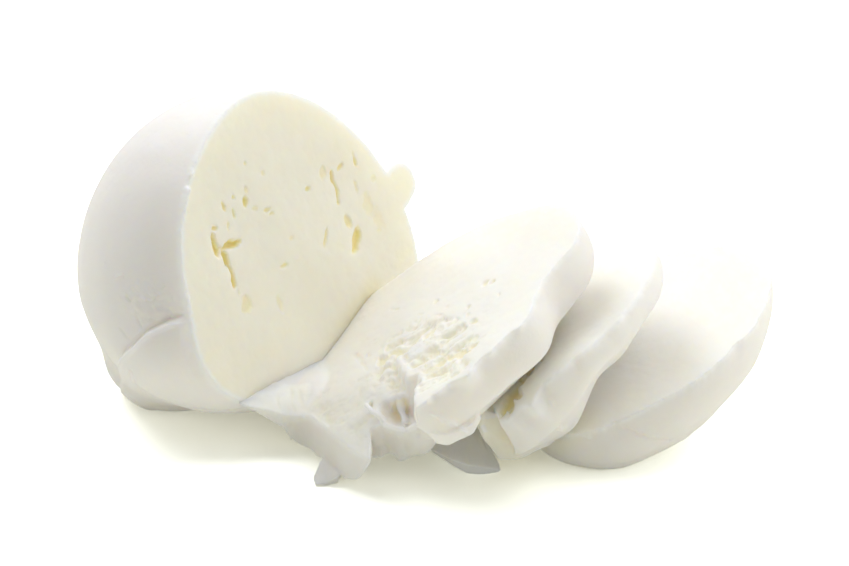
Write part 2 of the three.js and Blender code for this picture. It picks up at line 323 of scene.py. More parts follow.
def hollow(flat, at, halves, turn, depth, ragged=0.3, wall=0.3):
    """Depth of one hole. Wall is the share of its half-width that the slope takes."""
    angle = math.radians(turn)
    east, north = (flat - at).T
    near = np.hypot(east, north) < 1.8 * max(halves)
    along = east[near] * math.cos(angle) + north[near] * math.sin(angle)
    over = north[near] * math.cos(angle) - east[near] * math.sin(angle)
    rough = np.column_stack([flat[near], np.full(near.sum(), 3.0 * sum(at))])
    reach = np.hypot(along / halves[0], over / halves[1]) + ragged * fractal(rough, 1.5, 3, seed=2) * 1.6
    total = np.zeros(len(flat))
    total[near] = depth * smoothstep(reach, 1 + wall / 2, 1 - wall / 2)
    return total


def distance_to_chain(flat, corners):
    """How far each point is from a chain of straight stretches."""
    corners = np.asarray(corners, float)
    away = []
    for start, end in zip(corners, corners[1:]):
        step = end - start
        part = np.clip((flat - start) @ step / (step @ step), 0, 1)
        away.append(np.linalg.norm(flat - start - part[:, None] * step, axis=1))
    return np.min(away, axis=0)


def chain(flat, points, width, depth, ragged=0.35):
    """Depth of a crack or groove along a chain of points."""
    away = distance_to_chain(flat, points)
    near = away < 2 * width
    rough = flat[near] if flat.shape[1] == 3 else np.column_stack([flat[near], np.zeros(near.sum())])
    total = np.zeros(len(flat))
    total[near] = depth * smoothstep(away[near] + ragged * width * noise(rough, 1.5, seed=5), width * 0.8, width * 0.2)
    return total


def inside_of(flat, corners):
    """Whether each point is inside a closed outline."""
    x, y = flat.T
    inside = np.zeros(len(flat), bool)
    for (x0, y0), (x1, y1) in zip(corners, [*corners[1:], corners[0]]):
        if y0 != y1:
            inside ^= ((y0 > y) != (y1 > y)) & (x < x0 + (y - y0) * (x1 - x0) / (y1 - y0))
    return inside


def bump_at(value, middle, width):
    """A soft bump, 1 at the middle."""
    return np.exp(-(((value - middle) / width) ** 2))


def marks(flat, hollows=(), cracks=(), **soft):
    """The deepest of all holes and cracks at each point."""
    depth = np.zeros(len(flat))
    for spec in hollows:
        depth = np.maximum(depth, hollow(flat, *spec, **soft))
    for spec in cracks:
        depth = np.maximum(depth, chain(flat, *spec))
    return depth


# %% [markdown]
# ## The large end
# The real ball sank under its own weight while it was warm, so its waist is low and its base nearly flat. A
# super-ellipse gives both with two exponents. Where the dairy tucked the skin under, a fold laps over the front
# of the base, and a small stub at the back shows where the ball was nipped off the rope of curd. The knife
# then took everything to the right of a tipped plane, and its blade bowed, so the face is slightly dished.

# %% The ball's sizes, in millimetres
BALL_CENTRE = np.array([-37.0, -51.6])
BALL_RADIUS = 39.1
FRONT_TO_BACK = 0.933
BALL_HEIGHT = 68.9
WAIST = 26.0
TOP_ROUNDNESS, BASE_ROUNDNESS = 1.86, 2.3
THREE_SIDED, THREE_SIDED_TURN = 0.044, math.radians(17)
LEAN = -0.061
SUNK = 0.35

CUT_TURN, CUT_TIP = math.radians(52.7), math.radians(19)
CUT_FROM_WAIST = 15.4
DISH, DISH_RADIUS = 1.1, 40.0
KNIFE_WAVE = 0.25

CUT_OUT = np.array([
    math.sin(CUT_TURN) * math.cos(CUT_TIP), -math.cos(CUT_TURN) * math.cos(CUT_TIP), math.sin(CUT_TIP)])
CUT_UP = np.array([0, 0, 1]) - CUT_OUT[2] * CUT_OUT
CUT_UP /= np.linalg.norm(CUT_UP)
CUT_ACROSS = np.cross(CUT_UP, CUT_OUT)
CUT_AXES = np.array([CUT_ACROSS, CUT_UP, CUT_OUT])
CUT_CENTRE = np.array([*BALL_CENTRE, WAIST]) + CUT_FROM_WAIST * CUT_OUT

FOLD = dict(centre=(-43.7, -64.8, 24.2), halves=(23.7, 26, 21.6), turn=25)
ROLL = dict(centre=(-54.6, -55, 7), halves=(16, 14.2, 9), turn=0)
STUB = dict(centre=(-6.2, -28.6, 37.2), halves=(5.2, 5.8, 4.8), turn=40)
BLEND_VOXEL, BLEND = 1.1, 70  # a coarse net and this many rounds of sagging melt the roll into the ball
print("the cut faces", np.round(CUT_OUT, 2), "and its middle is at", np.round(CUT_CENTRE, 1))


def uneven(x, y, size=KNIFE_WAVE):
    """Two slow waves that a knife leaves in soft curd."""
    return size * (np.sin(x * 0.21 + y * 0.13) + np.sin(y * 0.29 - x * 0.17 + 1.3)) / 2


# %% The whole ball and what the knife took


def whole_ball(name, grow=0.0, segments=200, steps=100):
    """The ball before it was cut, a little three-sided and leaning back."""
    angle = np.pi * (np.arange(steps + 1) / steps - 0.5)
    side, rise = np.clip(np.cos(angle), 0, None), np.abs(np.sin(angle))
    power = 2 / np.where(angle < 0, BASE_ROUNDNESS, TOP_ROUNDNESS)
    reach = np.where(angle < 0, -WAIST, BALL_HEIGHT - WAIST)
    profile = np.stack([side**power, WAIST + reach * rise**power], axis=1)
    points, faces, _ = turned(profile, segments)
    turn = np.arctan2(points[:, 1], points[:, 0])
    spread = (BALL_RADIUS + grow) * (1 + THREE_SIDED * np.cos(3 * (turn - THREE_SIDED_TURN)))
    x = BALL_CENTRE[0] + points[:, 0] * spread
    y = BALL_CENTRE[1] + points[:, 1] * spread * FRONT_TO_BACK + LEAN * (points[:, 2] - WAIST)
    return solid(name, np.stack([x, y, points[:, 2] - SUNK], axis=1), faces)


def dish_at(radius):
    """How far the cut face is dished in."""
    return DISH * np.clip(1 - (radius / DISH_RADIUS) ** 2, 0, None)


def beyond_cut(name, offset=0.0, reach=62.0, height=120.0, rings=40, segments=120):
    """Everything on the far side of the knife."""
    radius = reach * np.arange(rings + 1) / rings
    profile = np.stack([radius, offset - dish_at(radius)], axis=1)
    points, faces, _ = turned([*profile, (reach, height), (0, height)], segments)
    low = points[:, 2] < height / 2
    points[low, 2] += uneven(points[low, 0], points[low, 1])
    return solid(name, points @ CUT_AXES + CUT_CENTRE, faces)


def board(name):
    """What lies under the surface that the cheese stands on: it presses each piece flat there."""
    points = np.array([(x, y, z) for x in (-200, 200) for y in (-200, 200) for z in (-40, 0)])
    faces = [(0, 1, 3, 2), (4, 6, 7, 5), (0, 4, 5, 1), (2, 3, 7, 6), (0, 2, 6, 4), (1, 5, 7, 3)]
    return solid(name, points, faces)


def cut_ball(name, grow=0.0, voxel=NET_SIZE, detail=72):
    """The large end. Grown a little, and coarse, it also serves to keep the first slice clear of it."""
    def grown(spec):
        return dict(spec, halves=tuple(half + grow for half in spec["halves"]))

    bulges = [egg("fold", **grown(FOLD), segments=detail * 2), egg("roll", **grown(ROLL), segments=detail)]
    blended = carve(whole_ball(name, grow), bulges, voxel=BLEND_VOXEL, soften=4)
    away = np.linalg.norm((places_of(blended) - ROLL["centre"]) / ROLL["halves"], axis=1)
    melt(blended, smoothstep(away, 2.2, 1.5), BLEND)
    stub = egg("stub", **grown(STUB), segments=detail, lumpy=0.9)
    return carve(blended, [stub], [beyond_cut("knife", grow), board("board")], voxel)


ball = cut_ball("fresh_ball_end")
print("ball:", len(ball.data.polygons), "quads")

# %% [markdown]
# ### Holes and the torn skin
# Next come the marks of the real face. Most holes sit in two groups: a branching crack on the left, where two
# layers of stretched curd parted, and a row of slanted slits on the right. The skin is tougher than the curd, so
# along the left edge the knife dragged it into a thin, ragged lip that stands a little proud of the face.

# %% Marks of the cut face, as across, up
FACE_HOLLOWS = [
    # at, halves, turn, depth
    ((-17.7, 12.1), (2.7, 0.75), -5, 3.0),
    ((-20.7, 10.6), (0.85, 1.9), 10, 3.4),
    ((-20.2, 7.8), (0.5, 1.2), 22, 3.0),
    ((-20.2, 5.1), (0.65, 1.5), 0, 2.6),
    ((-22.5, 13.2), (0.75, 2.0), 0, 2.6),
    ((-22.1, 15.6), (0.4, 0.4), 0, 1.2),
    ((-21.1, 16.8), (0.9, 0.4), -8, 1.4),
    ((-18.0, -1.1), (1.8, 1.8), 0, 0.8),
    ((-19.6, 1.9), (0.6, 0.8), 0, 0.5),
    ((-10.5, 19.0), (0.8, 1.1), -24, 2.0),
    ((-17.0, 20.3), (0.4, 1.0), 10, 1.3),
    ((-13.5, 21.1), (0.4, 0.4), 0, 1.2),
    ((-14.7, 18.1), (0.35, 1.0), 0, 1.1),
    ((-17.3, 16.0), (0.35, 0.9), -24, 0.8),
    ((-9.5, 21.4), (0.4, 0.6), 0, 0.7),
    ((-8.4, 17.0), (0.8, 0.45), 0, 0.6),
    ((-4.7, 15.4), (1.0, 0.35), -6, 1.2),
    ((-3.7, 14.2), (0.9, 0.35), -6, 0.8),
    ((-7.7, 26.6), (0.45, 0.4), 0, 0.9),
    ((-3.5, 23.0), (0.5, 0.5), 0, 0.6),
    ((-4.1, 2.8), (1.2, 0.4), -4, 1.0),
    ((0.0, 7.4), (0.6, 0.4), 0, 0.5),
    ((-8.7, -4.0), (0.8, 1.6), 0, 0.5),
    ((9.0, 15.6), (0.9, 0.45), 0, 1.4),
    ((14.7, 17.6), (0.8, 1.2), -20, 0.6),
    ((20.0, 16.8), (1.1, 0.45), 20, 1.2),
    ((24.5, 16.9), (0.4, 1.4), 0, 1.3),
    ((23.1, 11.2), (0.5, 1.4), 0, 0.6),
    ((18.0, 5.2), (0.8, 1.9), 16, 1.2),
    ((19.2, 0.3), (1.2, 2.8), -30, 2.2),
    ((9.9, 4.2), (0.35, 1.9), -36, 1.2),
    ((25.3, 6.6), (1.5, 2.6), 0, 0.5),
    ((27.1, 2.3), (1.4, 2.4), 0, 0.4),
    ((28.7, 11.3), (0.8, 0.8), 0, 0.4),
    ((-24.9, 31.3), (2.0, 0.5), 25, 0.9),
]
FACE_CRACKS = [
    # points, width, depth
    (((17.1, 16.6), (16.7, 15.0), (17.4, 12.2), (16.7, 9.8)), 0.6, 1.8),
]
BALL_HOLE_SHARE = 0.5  # the share of each depth above that is really cut, because bright curd hides deep holes
FACE_GRAIN, FACE_WAVE = 0.15, 0.16
RIM_LIP = 0.95  # how far the torn skin stands proud of the cut face
RIM_WIDTH = 1.0
RIM_WHOLE, RIM_TORN = 0.18, 0.82  # the share of the lip where the skin stayed whole, and what a tear adds
TORN_RIM = dict(left=(-8, -20), low=(-24, -12), high=(34, 27))  # where the lip grows to its full height
print(len(FACE_HOLLOWS), "holes, the widest", 2 * max(max(halves) for _, halves, _, _ in FACE_HOLLOWS), "mm")

# %% [markdown]
# ### Folds in the skin
# The skin is drawn on as if it were peeled off and laid flat: degrees around the ball become millimetres along
# it, and height stays height. The leaf-shaped lap at the front then is one outline with a raised, rolled edge.
# Short creases and a field of fine wrinkles lie above it, where the skin was gathered when the ball was closed.

# %% Marks of the unrolled skin, as along, up
SKIN_STEP = 0.66  # millimetres along the skin for one degree around the ball
LAP_EDGE = [
    (-66, 35.2), (-74, 31.7), (-79.2, 28.7), (-84.5, 23.6), (-88.5, 19), (-93, 14.2), (-98.5, 9.8), (-101.5, 6),
    (-100, 1), (-96, -3)]
LAP = [*LAP_EDGE, (-30, -3), (-30, 35.2)]
LAP_STEP = 1.3
TUCK = [(-84.6, 18), (-86, 14.5), (-83, 10.6), (-77, 9.4), (-70, 9.2), (-61, 9.4), (-52, 9.8)]
SKIN_CREASES = [
    # points, width, depth, where less than nothing is a ridge
    (((-83.2, 31.8), (-82.5, 30.5), (-81.2, 28.8)), 0.6, 0.2),
    (((-88.4, 26.7), (-86.5, 25.6), (-83.8, 24.7)), 0.6, 0.22),
    (((-86.5, 34.3), (-85.1, 33.5)), 0.4, 0.3),
    (((-96.4, 38.5), (-94.4, 37.4)), 0.4, -0.25),
    (((-88.4, 38.0), (-89.8, 37.2), (-91.1, 36.6)), 0.4, -0.3),
    (((-79.2, 37.7), (-77.2, 37.6), (-76.6, 38.4)), 0.4, -0.3),
    (((-80.5, 35.0), (-79.2, 35.1), (-77.9, 36.8)), 0.35, 0.25),
    (((-79.9, 32.7), (-77.2, 33.7), (-74.6, 33.8), (-75.2, 32.1), (-78.5, 30.9)), 0.35, 0.2),
    (((-105, 16), (-101, 13), (-99, 10.5)), 0.7, 0.4),
]
WRINKLED = dict(at=(-79, 34), halves=(11, 6), size=0.22)
SKIN_WAVE, SKIN_RIPPLE = 0.28, 0.10
print("the lap reaches from", LAP_EDGE[-1][1], "to", LAP_EDGE[0][1], "mm up the skin")

# %% Relief of the ball


def to_cut(places):
    """Places as across, up and out of the cut face."""
    return (places - CUT_CENTRE) @ CUT_AXES.T


def on_cut_face(made, reach=0.4, facing=0.75):
    """Whether each vertex is on the cut face: near its level, and facing its way."""
    across, up, out = to_cut(places_of(made)).T
    level = uneven(across, up) - dish_at(np.hypot(across, up))
    return (np.abs(out - level) < reach) & (normals_of(made) @ CUT_OUT > facing)


def on_skin(places):
    """Places as along the unrolled skin and up it."""
    east, north = (places[:, :2] - BALL_CENTRE).T
    return np.column_stack([np.degrees(np.arctan2(north, east)) * SKIN_STEP, places[:, 2]])


def skin_relief(places):
    """How far the folds lift the skin."""
    flat = on_skin(places)
    wander = 0.5 * noise(places, 6.0, seed=51)
    to_lap = distance_to_chain(flat, LAP_EDGE)
    to_lap = np.where(inside_of(flat, LAP), to_lap, -to_lap) + wander
    lift = LAP_STEP * smoothstep(to_lap, -0.4, 0.5) * smoothstep(to_lap, 16, 3)
    lift += 0.45 * bump_at(to_lap, 0.6, 0.5) - 0.6 * bump_at(to_lap, -0.6, 0.45)  # a rolled edge, a groove before it
    lift -= chain(flat, TUCK, 1.1, 0.7, ragged=0.2)
    for points, width, depth in SKIN_CREASES:
        lift -= chain(flat, points, width, depth, ragged=0.5)
    away = (flat - WRINKLED["at"]) / WRINKLED["halves"]
    fine = 1 - np.abs(fractal(places * (1, 1, 1.6), 3.0, 3, seed=54)) * 3.2
    lift += WRINKLED["size"] * np.clip(fine, -0.3, 1) * smoothstep(np.hypot(*away.T), 1.1, 0.5) * (to_lap < 0)
    return lift


def finish_ball(made):
    """Carves the ball's relief and stores its masks."""
    face = on_cut_face(made)
    edge = distance_to_edge(made, face)
    places, normals = places_of(made), normals_of(made)
    flat = to_cut(places)[:, :2]

    # the cut face: holes and cracks, kept away from the rim, and the grain of the curd
    inward = face * smoothstep(edge, 0.2, 1.2)
    depth = BALL_HOLE_SHARE * marks(flat, FACE_HOLLOWS, FACE_CRACKS, ragged=0.45, wall=0.8) * inward
    grain = FACE_GRAIN * fractal(places, 2.2, 4, seed=1) + FACE_WAVE * noise(places, 9.0, seed=4)
    places = places - CUT_OUT * ((depth - grain) * face)[:, None]

    across, up = flat.T
    # the torn skin along the rim: a lip, ragged by noise, that stands proud where the blade dragged
    torn = smoothstep(across, *TORN_RIM["left"]) * smoothstep(up, *TORN_RIM["low"]) * smoothstep(up, *TORN_RIM["high"])
    lip = np.clip(0.15 + 0.8 * noise(places, 1.5, seed=8) + 0.9 * noise(places, 4.2, seed=9), 0, 1.3)
    proud = RIM_LIP * lip * (RIM_WHOLE + RIM_TORN * torn) * smoothstep(edge, RIM_WIDTH, 0.0)
    places = places + (CUT_OUT * 0.8 + normals * 0.35) * proud[:, None]

    # the skin: slow waves and folds, which fade out before the rim
    skin = ~face * smoothstep(edge, 0.3, 2.5)
    waves = SKIN_WAVE * noise(places, 17.0, seed=6) + SKIN_RIPPLE * noise(places, 5.5, seed=7)
    places = places + normals * ((waves + skin_relief(places)) * skin)[:, None]
    places[:, 2] = np.clip(places[:, 2], 0, None)
    move_to(made, places)

    keep_mask(made, "cut_face", face)
    # painted shade: each hole's depth tints it with the yellow shade colour
    keep_mask(made, "hole", depth)
    keep_mask(made, "rim", smoothstep(edge, 1.3, 0.1))
    return depth


depth = finish_ball(ball)
print("deepest hole in the cut face:", round(float(depth.max()), 2), "mm")

# %% [markdown]
# ## The slices
# Each slice is drawn lying on its back: a face that spreads from a middle point, a rind that swells a little,
# and a belly below that settles onto its neighbour. The outline is a super-ellipse, rounder towards the top of
# the slope. Then the whole thing is tipped onto its slope. Cutting a slice by its grown neighbour leaves the
# same thin gap everywhere, as between wet pieces that touch without joining.

# %% The slices' sizes
GAP = 0.3
WET_GAP = 0.12  # where the last web of curd still clings to the ball
LUMP_GAP = 2 * GAP  # around ragged lumps, which wander a little on both sides
EDGE_RADIUS = 0.2
JAGGED = 0.6  # how far the torn edge of the rind wanders
TORN_STEP = 4.0
FOOT_MIDDLE = 14.0

SLICES = {
    # feet: a direction and a spread in degrees, and the thickness and taper there
    # flats: a direction and a width in degrees, and the share of the outline that is missing there
    # sags: a direction in degrees, where it starts, over how far, how deep, and between which heights up the slope
    "slice_1": dict(
        centre=(-1.5, -81.3, 27), heading=0, slope=35.7, roll=0,
        half_width=35, up_slope=41, down_slope=31, squareness=2.5,
        thickness=10.3, belly=4.4, taper=0.07, slump=(0, 0),
        feet=[(-108, 70, 9, -0.24), (-50, 38, 9, 0.14)],
        flats=[(65, 15, 0.13), (22, 14, 0.04), (-30, 20, 0.13), (-92, 24, -0.07)],
        sags=[(0, 2, 38, 12, 0, -99)],
    ),
    "slice_2": dict(
        centre=(22.8, -75, 24.8), heading=-5.4, slope=34.6, roll=-4.3,
        half_width=30.5, up_slope=29.5, down_slope=29, squareness=2.35,
        thickness=6, belly=4.8, taper=0.03, slump=(0, 0),
        feet=[(-30, 70, 12.5, 0.08)],
        flats=[(-64, 30, 0.32)],
        sags=[(-35, 18, 14, 4, 99, -99)],
    ),
    "slice_3": dict(
        centre=(41.6, -65.5, 17), heading=10.5, slope=25.1, roll=1.8,
        half_width=29.5, up_slope=34.8, down_slope=26.4, squareness=2.7,
        thickness=19, dome_roundness=2.1, taper=0, slump=(5, -5),
        feet=[], flats=[], sags=[],
    ),
}
for name, spec in SLICES.items():
    print(name, "is", spec["thickness"], "mm thick and leans back at", spec["slope"], "degrees")


def slope_axes(spec):
    """Rows: towards the front, up the slope, and out of the upper face."""
    turn, steep = math.radians(spec["heading"]), math.radians(spec["slope"])
    out = np.array([
        -math.cos(turn) * math.sin(steep), -math.sin(turn) * math.sin(steep), math.cos(steep)])
    up = np.array([0, 0, 1]) - out[2] * out
    up /= np.linalg.norm(up)
    axes = np.array([np.cross(up, out), up, out])
    roll = np.array(Matrix.Rotation(math.radians(spec["roll"]), 3, "Z"))
    return roll.T @ axes


def on_slice(spec, places):
    """Places in a slice's own frame."""
    return (places - spec["centre"]) @ slope_axes(spec).T


def off_slice(spec, local):
    return local @ slope_axes(spec) + spec["centre"]


# %% The outline of a slice and how it sags


def degrees_from(angle, at):
    """Angles in degrees from a direction, from -180 to 180."""
    return (np.degrees(angle) - at + 180) % 360 - 180


def outline(spec, angle, grow=0.0):
    """The slice's reach in each direction: a super-ellipse with flattened stretches."""
    side, rise = np.cos(angle), np.sin(angle)
    reach = np.where(rise > 0, spec["up_slope"], spec["down_slope"])
    power = np.where(rise > 0, 2, spec["squareness"])
    radius = (np.abs(side / spec["half_width"]) ** power + np.abs(rise / reach) ** power) ** (-1 / power)
    for at, width, cut in spec["flats"]:
        radius = radius * (1 - cut * np.exp(-((degrees_from(angle, at) / width) ** 2)))
    return radius + grow


def droop(spec, x, y):
    """How far the face has sagged."""
    total = np.zeros(len(x))
    for toward, start, over, drop, below, above in spec["sags"]:
        far = x * math.cos(math.radians(toward)) + y * math.sin(math.radians(toward))
        here = smoothstep(below - y, 0, TORN_STEP) * smoothstep(y - above, 0, TORN_STEP)
        total += drop * smoothstep(far, start, start + over) * here
    return total


# %% A slice as a turned form


def rounded(rows, steps=5):
    """A smooth curve through the rows of a profile."""
    rows = np.asarray(rows, float)
    padded = np.vstack([rows[0], rows, rows[-1]])
    curve = []
    for a, b, c, d in zip(padded, padded[1:], padded[2:], padded[3:]):
        for t in np.arange(steps) / steps:
            curve.append(b + 0.5 * t * (c - a + t * (2 * a - 5 * b + 4 * c - d + t * (3 * (b - c) + d - a))))
    return np.array([*curve, rows[-1]])


def slice_form(name, spec, profile, grow, segments=360, bites=()):
    """A slice from a profile of (share of the outline, height, share of the taper) rows, with bites in its edge."""
    profile = rounded(profile)
    profile[:, 0] = np.clip(profile[:, 0], 0, None)
    points, faces, rows = turned(profile[:, :2], segments)
    share = np.hypot(points[:, 0], points[:, 1])
    angle = np.arctan2(points[:, 1], points[:, 0])
    narrowing, thickening = np.full(len(points), spec["taper"]), np.ones(len(points))
    for at, spread, thickness, taper in spec["feet"]:
        middle = math.cos(math.radians(FOOT_MIDDLE))
        here = smoothstep(np.cos(angle - math.radians(at)), math.cos(math.radians(spread)), middle)
        narrowing += here * taper
        thickening += here * share * (thickness / spec["thickness"] - 1)
    z = points[:, 2]
    radius = share * outline(spec, angle, grow) * (1 - profile[rows, 2] * narrowing)
    for at, width, cut, deep in bites:
        near_face = smoothstep(z, -deep, 0)
        radius = radius - cut * np.exp(-((degrees_from(angle, at) / width) ** 2)) * near_face * share
    if bites:
        rough = np.column_stack([np.cos(angle) * 36, np.sin(angle) * 36, z * 0.3])
        radius = radius + JAGGED * fractal(rough, 3.4, 3, seed=81) * smoothstep(z, -2.6, -0.2) * share**4
    depth = -z / spec["thickness"]
    x = np.cos(angle) * radius + spec["slump"][0] * depth
    y = np.sin(angle) * radius + spec["slump"][1] * depth
    z = np.where(depth > 0, z * thickening, z) + uneven(x, y) - droop(spec, x, y)
    return solid(name, off_slice(spec, np.stack([x, y, z], axis=1)), faces)


def flat_slice(name, spec, grow=0.0, bites=()):
    """A slice from the middle of the ball: a face, a swelling rind and a belly that settles onto its neighbour."""
    under = -spec["thickness"] - grow
    belly = under - spec["belly"]
    return slice_form(name, spec, [
        (0, belly, 1), (0.3, belly, 1), (0.6, belly, 1), (0.82, under - spec["belly"] * 0.4, 1),
        (0.94, under, 1), (0.99, under * 0.92, 1), (1.015, under * 0.65, 0.65), (1.015, under * 0.3, 0.3),
        (1, grow - EDGE_RADIUS, 0), (0.985, grow, 0), (0.8, grow, 0), (0.55, grow, 0), (0.28, grow, 0),
        (0, grow, 0),
    ], grow, bites=bites)


def domed_slice(name, spec, grow=0.0, bites=()):
    """The end slice: a face, and the ball's own dome under it."""
    angle = np.pi / 2 * (1 - np.arange(10) / 9)
    power = 2 / spec["dome_roundness"]
    share = np.clip(np.cos(angle), 0, None) ** power
    share[0] = 0
    profile = [(s, -(spec["thickness"] + grow) * math.sin(a) ** power, 0) for s, a in zip(share, angle)]
    profile[-1] = (1, grow - EDGE_RADIUS, 0)
    profile += [(0.985, grow, 0), (0.7, grow, 0), (0.35, grow, 0), (0, grow, 0)]
    return slice_form(name, spec, profile, grow, bites=bites)


for name, spec in SLICES.items():
    print(name, "reaches", np.round(outline(spec, np.radians([0, 90, 180, 270])), 1), "mm to the front, up, back, down")

# %% [markdown]
# ### Torn ends
# At the front the first slice is torn, not cut, and the tear parts it in two. On the right the slice is firm: it
# keeps its shape, but its lower left corner is gone, and a lip of rind curls out where that corner was. On the
# left its end has sagged onto the board as a thick block with a crisp upper edge. Between the two a bay is open,
# where stretched fibres and a soft lower layer show. A last web of curd still ties the slice to the ball, and a
# pointed flap of rind lies flat on the board.
#
# Sculpting by hand would give such forms too, but nobody could move them by a millimetre later. Here these lumps,
# which have no axis to turn about, are stacks of rings of corners, from the board up. The tear is a ragged line
# seen from above. It cuts the slice twice, once flat for the firm part and once sagged for its end.

# %% Torn lumps, as rings of corners from the lowest up


def at_height(height, *corners):
    """A level ring of corners."""
    return [(x, y, height) for x, y in corners]


BLOCK = [
    at_height(-1, (-25, -77), (-23.8, -79), (-21.8, -82), (-19.8, -85.4), (-18, -88.6), (-16.4, -91), (-14.8, -91.4),
              (-13.6, -89.5), (-13.4, -84), (-15.4, -76), (-23, -72)),
    [(-29.2, -83.4, 4.8), (-27, -84.4, 2.6), (-23.8, -87.4, 2.1), (-21.2, -92.4, 2.9), (-18.6, -96, 2.6),
     (-16.2, -99.6, 2.2), (-13.8, -101.4, 3), (-12, -102.6, 6), (-12.6, -92, 6), (-14, -78, 5), (-26, -73, 5)],
    [(-29.4, -85, 6.8), (-26.8, -85, 8.6), (-24, -87, 9.4), (-21.1, -92.2, 9.4), (-18.6, -96, 9.4),
     (-15.6, -100.8, 9.4), (-12.5, -104.6, 9.4), (-10.9, -106, 9.8), (-10.9, -98.4, 12), (-13, -79, 14),
     (-26, -73, 12)],
    at_height(30, (-29.4, -85), (-26.8, -85), (-24, -87), (-21.1, -92.2), (-18.6, -96), (-15.6, -100.8),
              (-12.5, -104.6), (-10.5, -106), (-11.2, -98), (-14, -79), (-26, -73)),
]
LOBE = [
    # the soft lower layer in the bay
    [(-9.4, -89.4, 6.4), (-7.9, -89.6, 6.1), (-6.6, -90, 5), (-5.5, -90.4, 3.8), (-4.4, -90.8, 3.8),
     (-2.6, -91.4, 5.2), (1, -91, 6.8), (2, -80, 6), (-10, -80, 6)],
    [(-10.8, -94.6, 6.8), (-7.9, -95, 6.6), (-6.5, -95.6, 5.6), (-5.5, -96, 4.5), (-4.4, -96.4, 4.5),
     (-2.4, -97.2, 5.8), (1, -97, 7), (2, -80, 6), (-10, -80, 6)],
    [(-11.2, -97, 10.2), (-8.4, -97.6, 10), (-6.6, -98.2, 9.8), (-5.2, -98.8, 9.4), (-3.8, -99.2, 9.4),
     (-1.6, -100.6, 10.4), (3, -99, 11), (3, -82, 11), (-11, -82, 11)],
    [(-11.2, -100, 15.6), (-8.6, -101, 15.6), (-6.8, -101.6, 15), (-5.2, -101.8, 14.6), (-3.6, -102, 14.4),
     (-1.8, -103, 15.8), (3, -100, 15.5), (2, -84, 13), (-9, -84, 13)],
    [(-11, -97.6, 16.8), (-8.6, -98, 16), (-6.8, -98, 15.4), (-5.2, -98.2, 15), (-3.8, -98.6, 15.2),
     (-2.2, -100, 16.6), (0, -97, 16), (0, -86, 14), (-8, -86, 14)],
    [(-10.4, -94, 19), (-8.4, -94, 18.6), (-6.6, -93.8, 18.4), (-5, -93.8, 18.4), (-3.6, -94.4, 19),
     (-2.2, -96, 19.5), (0, -94, 19), (0, -86, 18), (-8, -86, 18)],
]
FIRM_CORNER = [
    # the space where the firm part's lower left corner is torn off, which narrows from the board up
    at_height(height, (-8, -132), (right, -132), (right, -103), (-8, -103))
    for height, right in ((-2, 6), (13, 4.6), (17.2, 2.4), (20.4, 0.4), (21.6, -0.9), (23.6, -2.4))]
LIP = [
    # the rind that curls out beside that space
    [(2, -112, 17.2), (4.4, -112.4, 16.6), (6.6, -112, 17.7), (9.8, -111, 18.8), (11.4, -110, 21.5), (9, -105, 18),
     (4, -105, 16.5)],
    [(1.4, -114.6, 21), (4, -114.6, 20.4), (6.6, -114, 21), (9.4, -113, 22), (11, -111.5, 24), (9, -105, 21),
     (4, -105, 20)],
]
RIDGES = [
    # ridges of stretched curd in the bay: corners from the lower end up, and their half-width
    ([(-7.9, -100.6, 16), (-9.2, -99.6, 17), (-10.7, -98.6, 17.4), (-12, -96, 17.6)], 0.6),
    ([(-8.2, -101.2, 15.6), (-5.8, -101.9, 15.1), (-3.5, -102.2, 14.8), (-2.4, -103.2, 16), (-1.2, -104.4, 17.4)], 0.6),
    ([(-3.8, -101, 15.6), (-4.6, -98.6, 17.3), (-5.1, -96.2, 19)], 0.8),
]
WEB = [
    # the curd that still ties the slice to the ball
    [(-38.2, -86, 12.0), (-35.4, -86, 10.8), (-32.9, -85.6, 8.8), (-30.7, -84.8, 6.6), (-29, -83.6, 4.6),
     (-25, -84, 2.5), (-18, -80, 2.5), (-18, -73, 4), (-24, -65, 6), (-31, -71, 8), (-36, -79, 10.5)],
    [(-38.6, -86.9, 13.2), (-35.6, -86.9, 12.1), (-33, -86.6, 11.3), (-30.8, -86.2, 10.6), (-28.6, -85.6, 9.6),
     (-24.6, -85.8, 9.9), (-16.6, -82, 12.6), (-15, -73, 14.4), (-21, -64, 12), (-29, -70, 12.5), (-36, -80, 13.4)],
    [(-37.6, -85.4, 13.5), (-35.4, -85.2, 12.8), (-33, -84.4, 12.3), (-30.6, -83.6, 12), (-28, -83, 11.5),
     (-24.6, -84, 10.9), (-17.6, -81, 13.4), (-16, -74, 14.8), (-22, -66, 12.6), (-29, -72, 13), (-35, -80, 13.6)],
]
FLAP = [
    # the pointed rind under the block's front
    at_height(-1, (-22.8, -95.6), (-22.5, -98.6), (-20.1, -98.4), (-17.6, -96.6), (-17, -91), (-20.5, -90)),
    [(-23, -96.6, 1), (-22.4, -99.3, 0.8), (-20.1, -99.1, 1), (-17.4, -99.2, 2.8), (-17.5, -93, 4), (-21.4, -93, 3.8)],
]
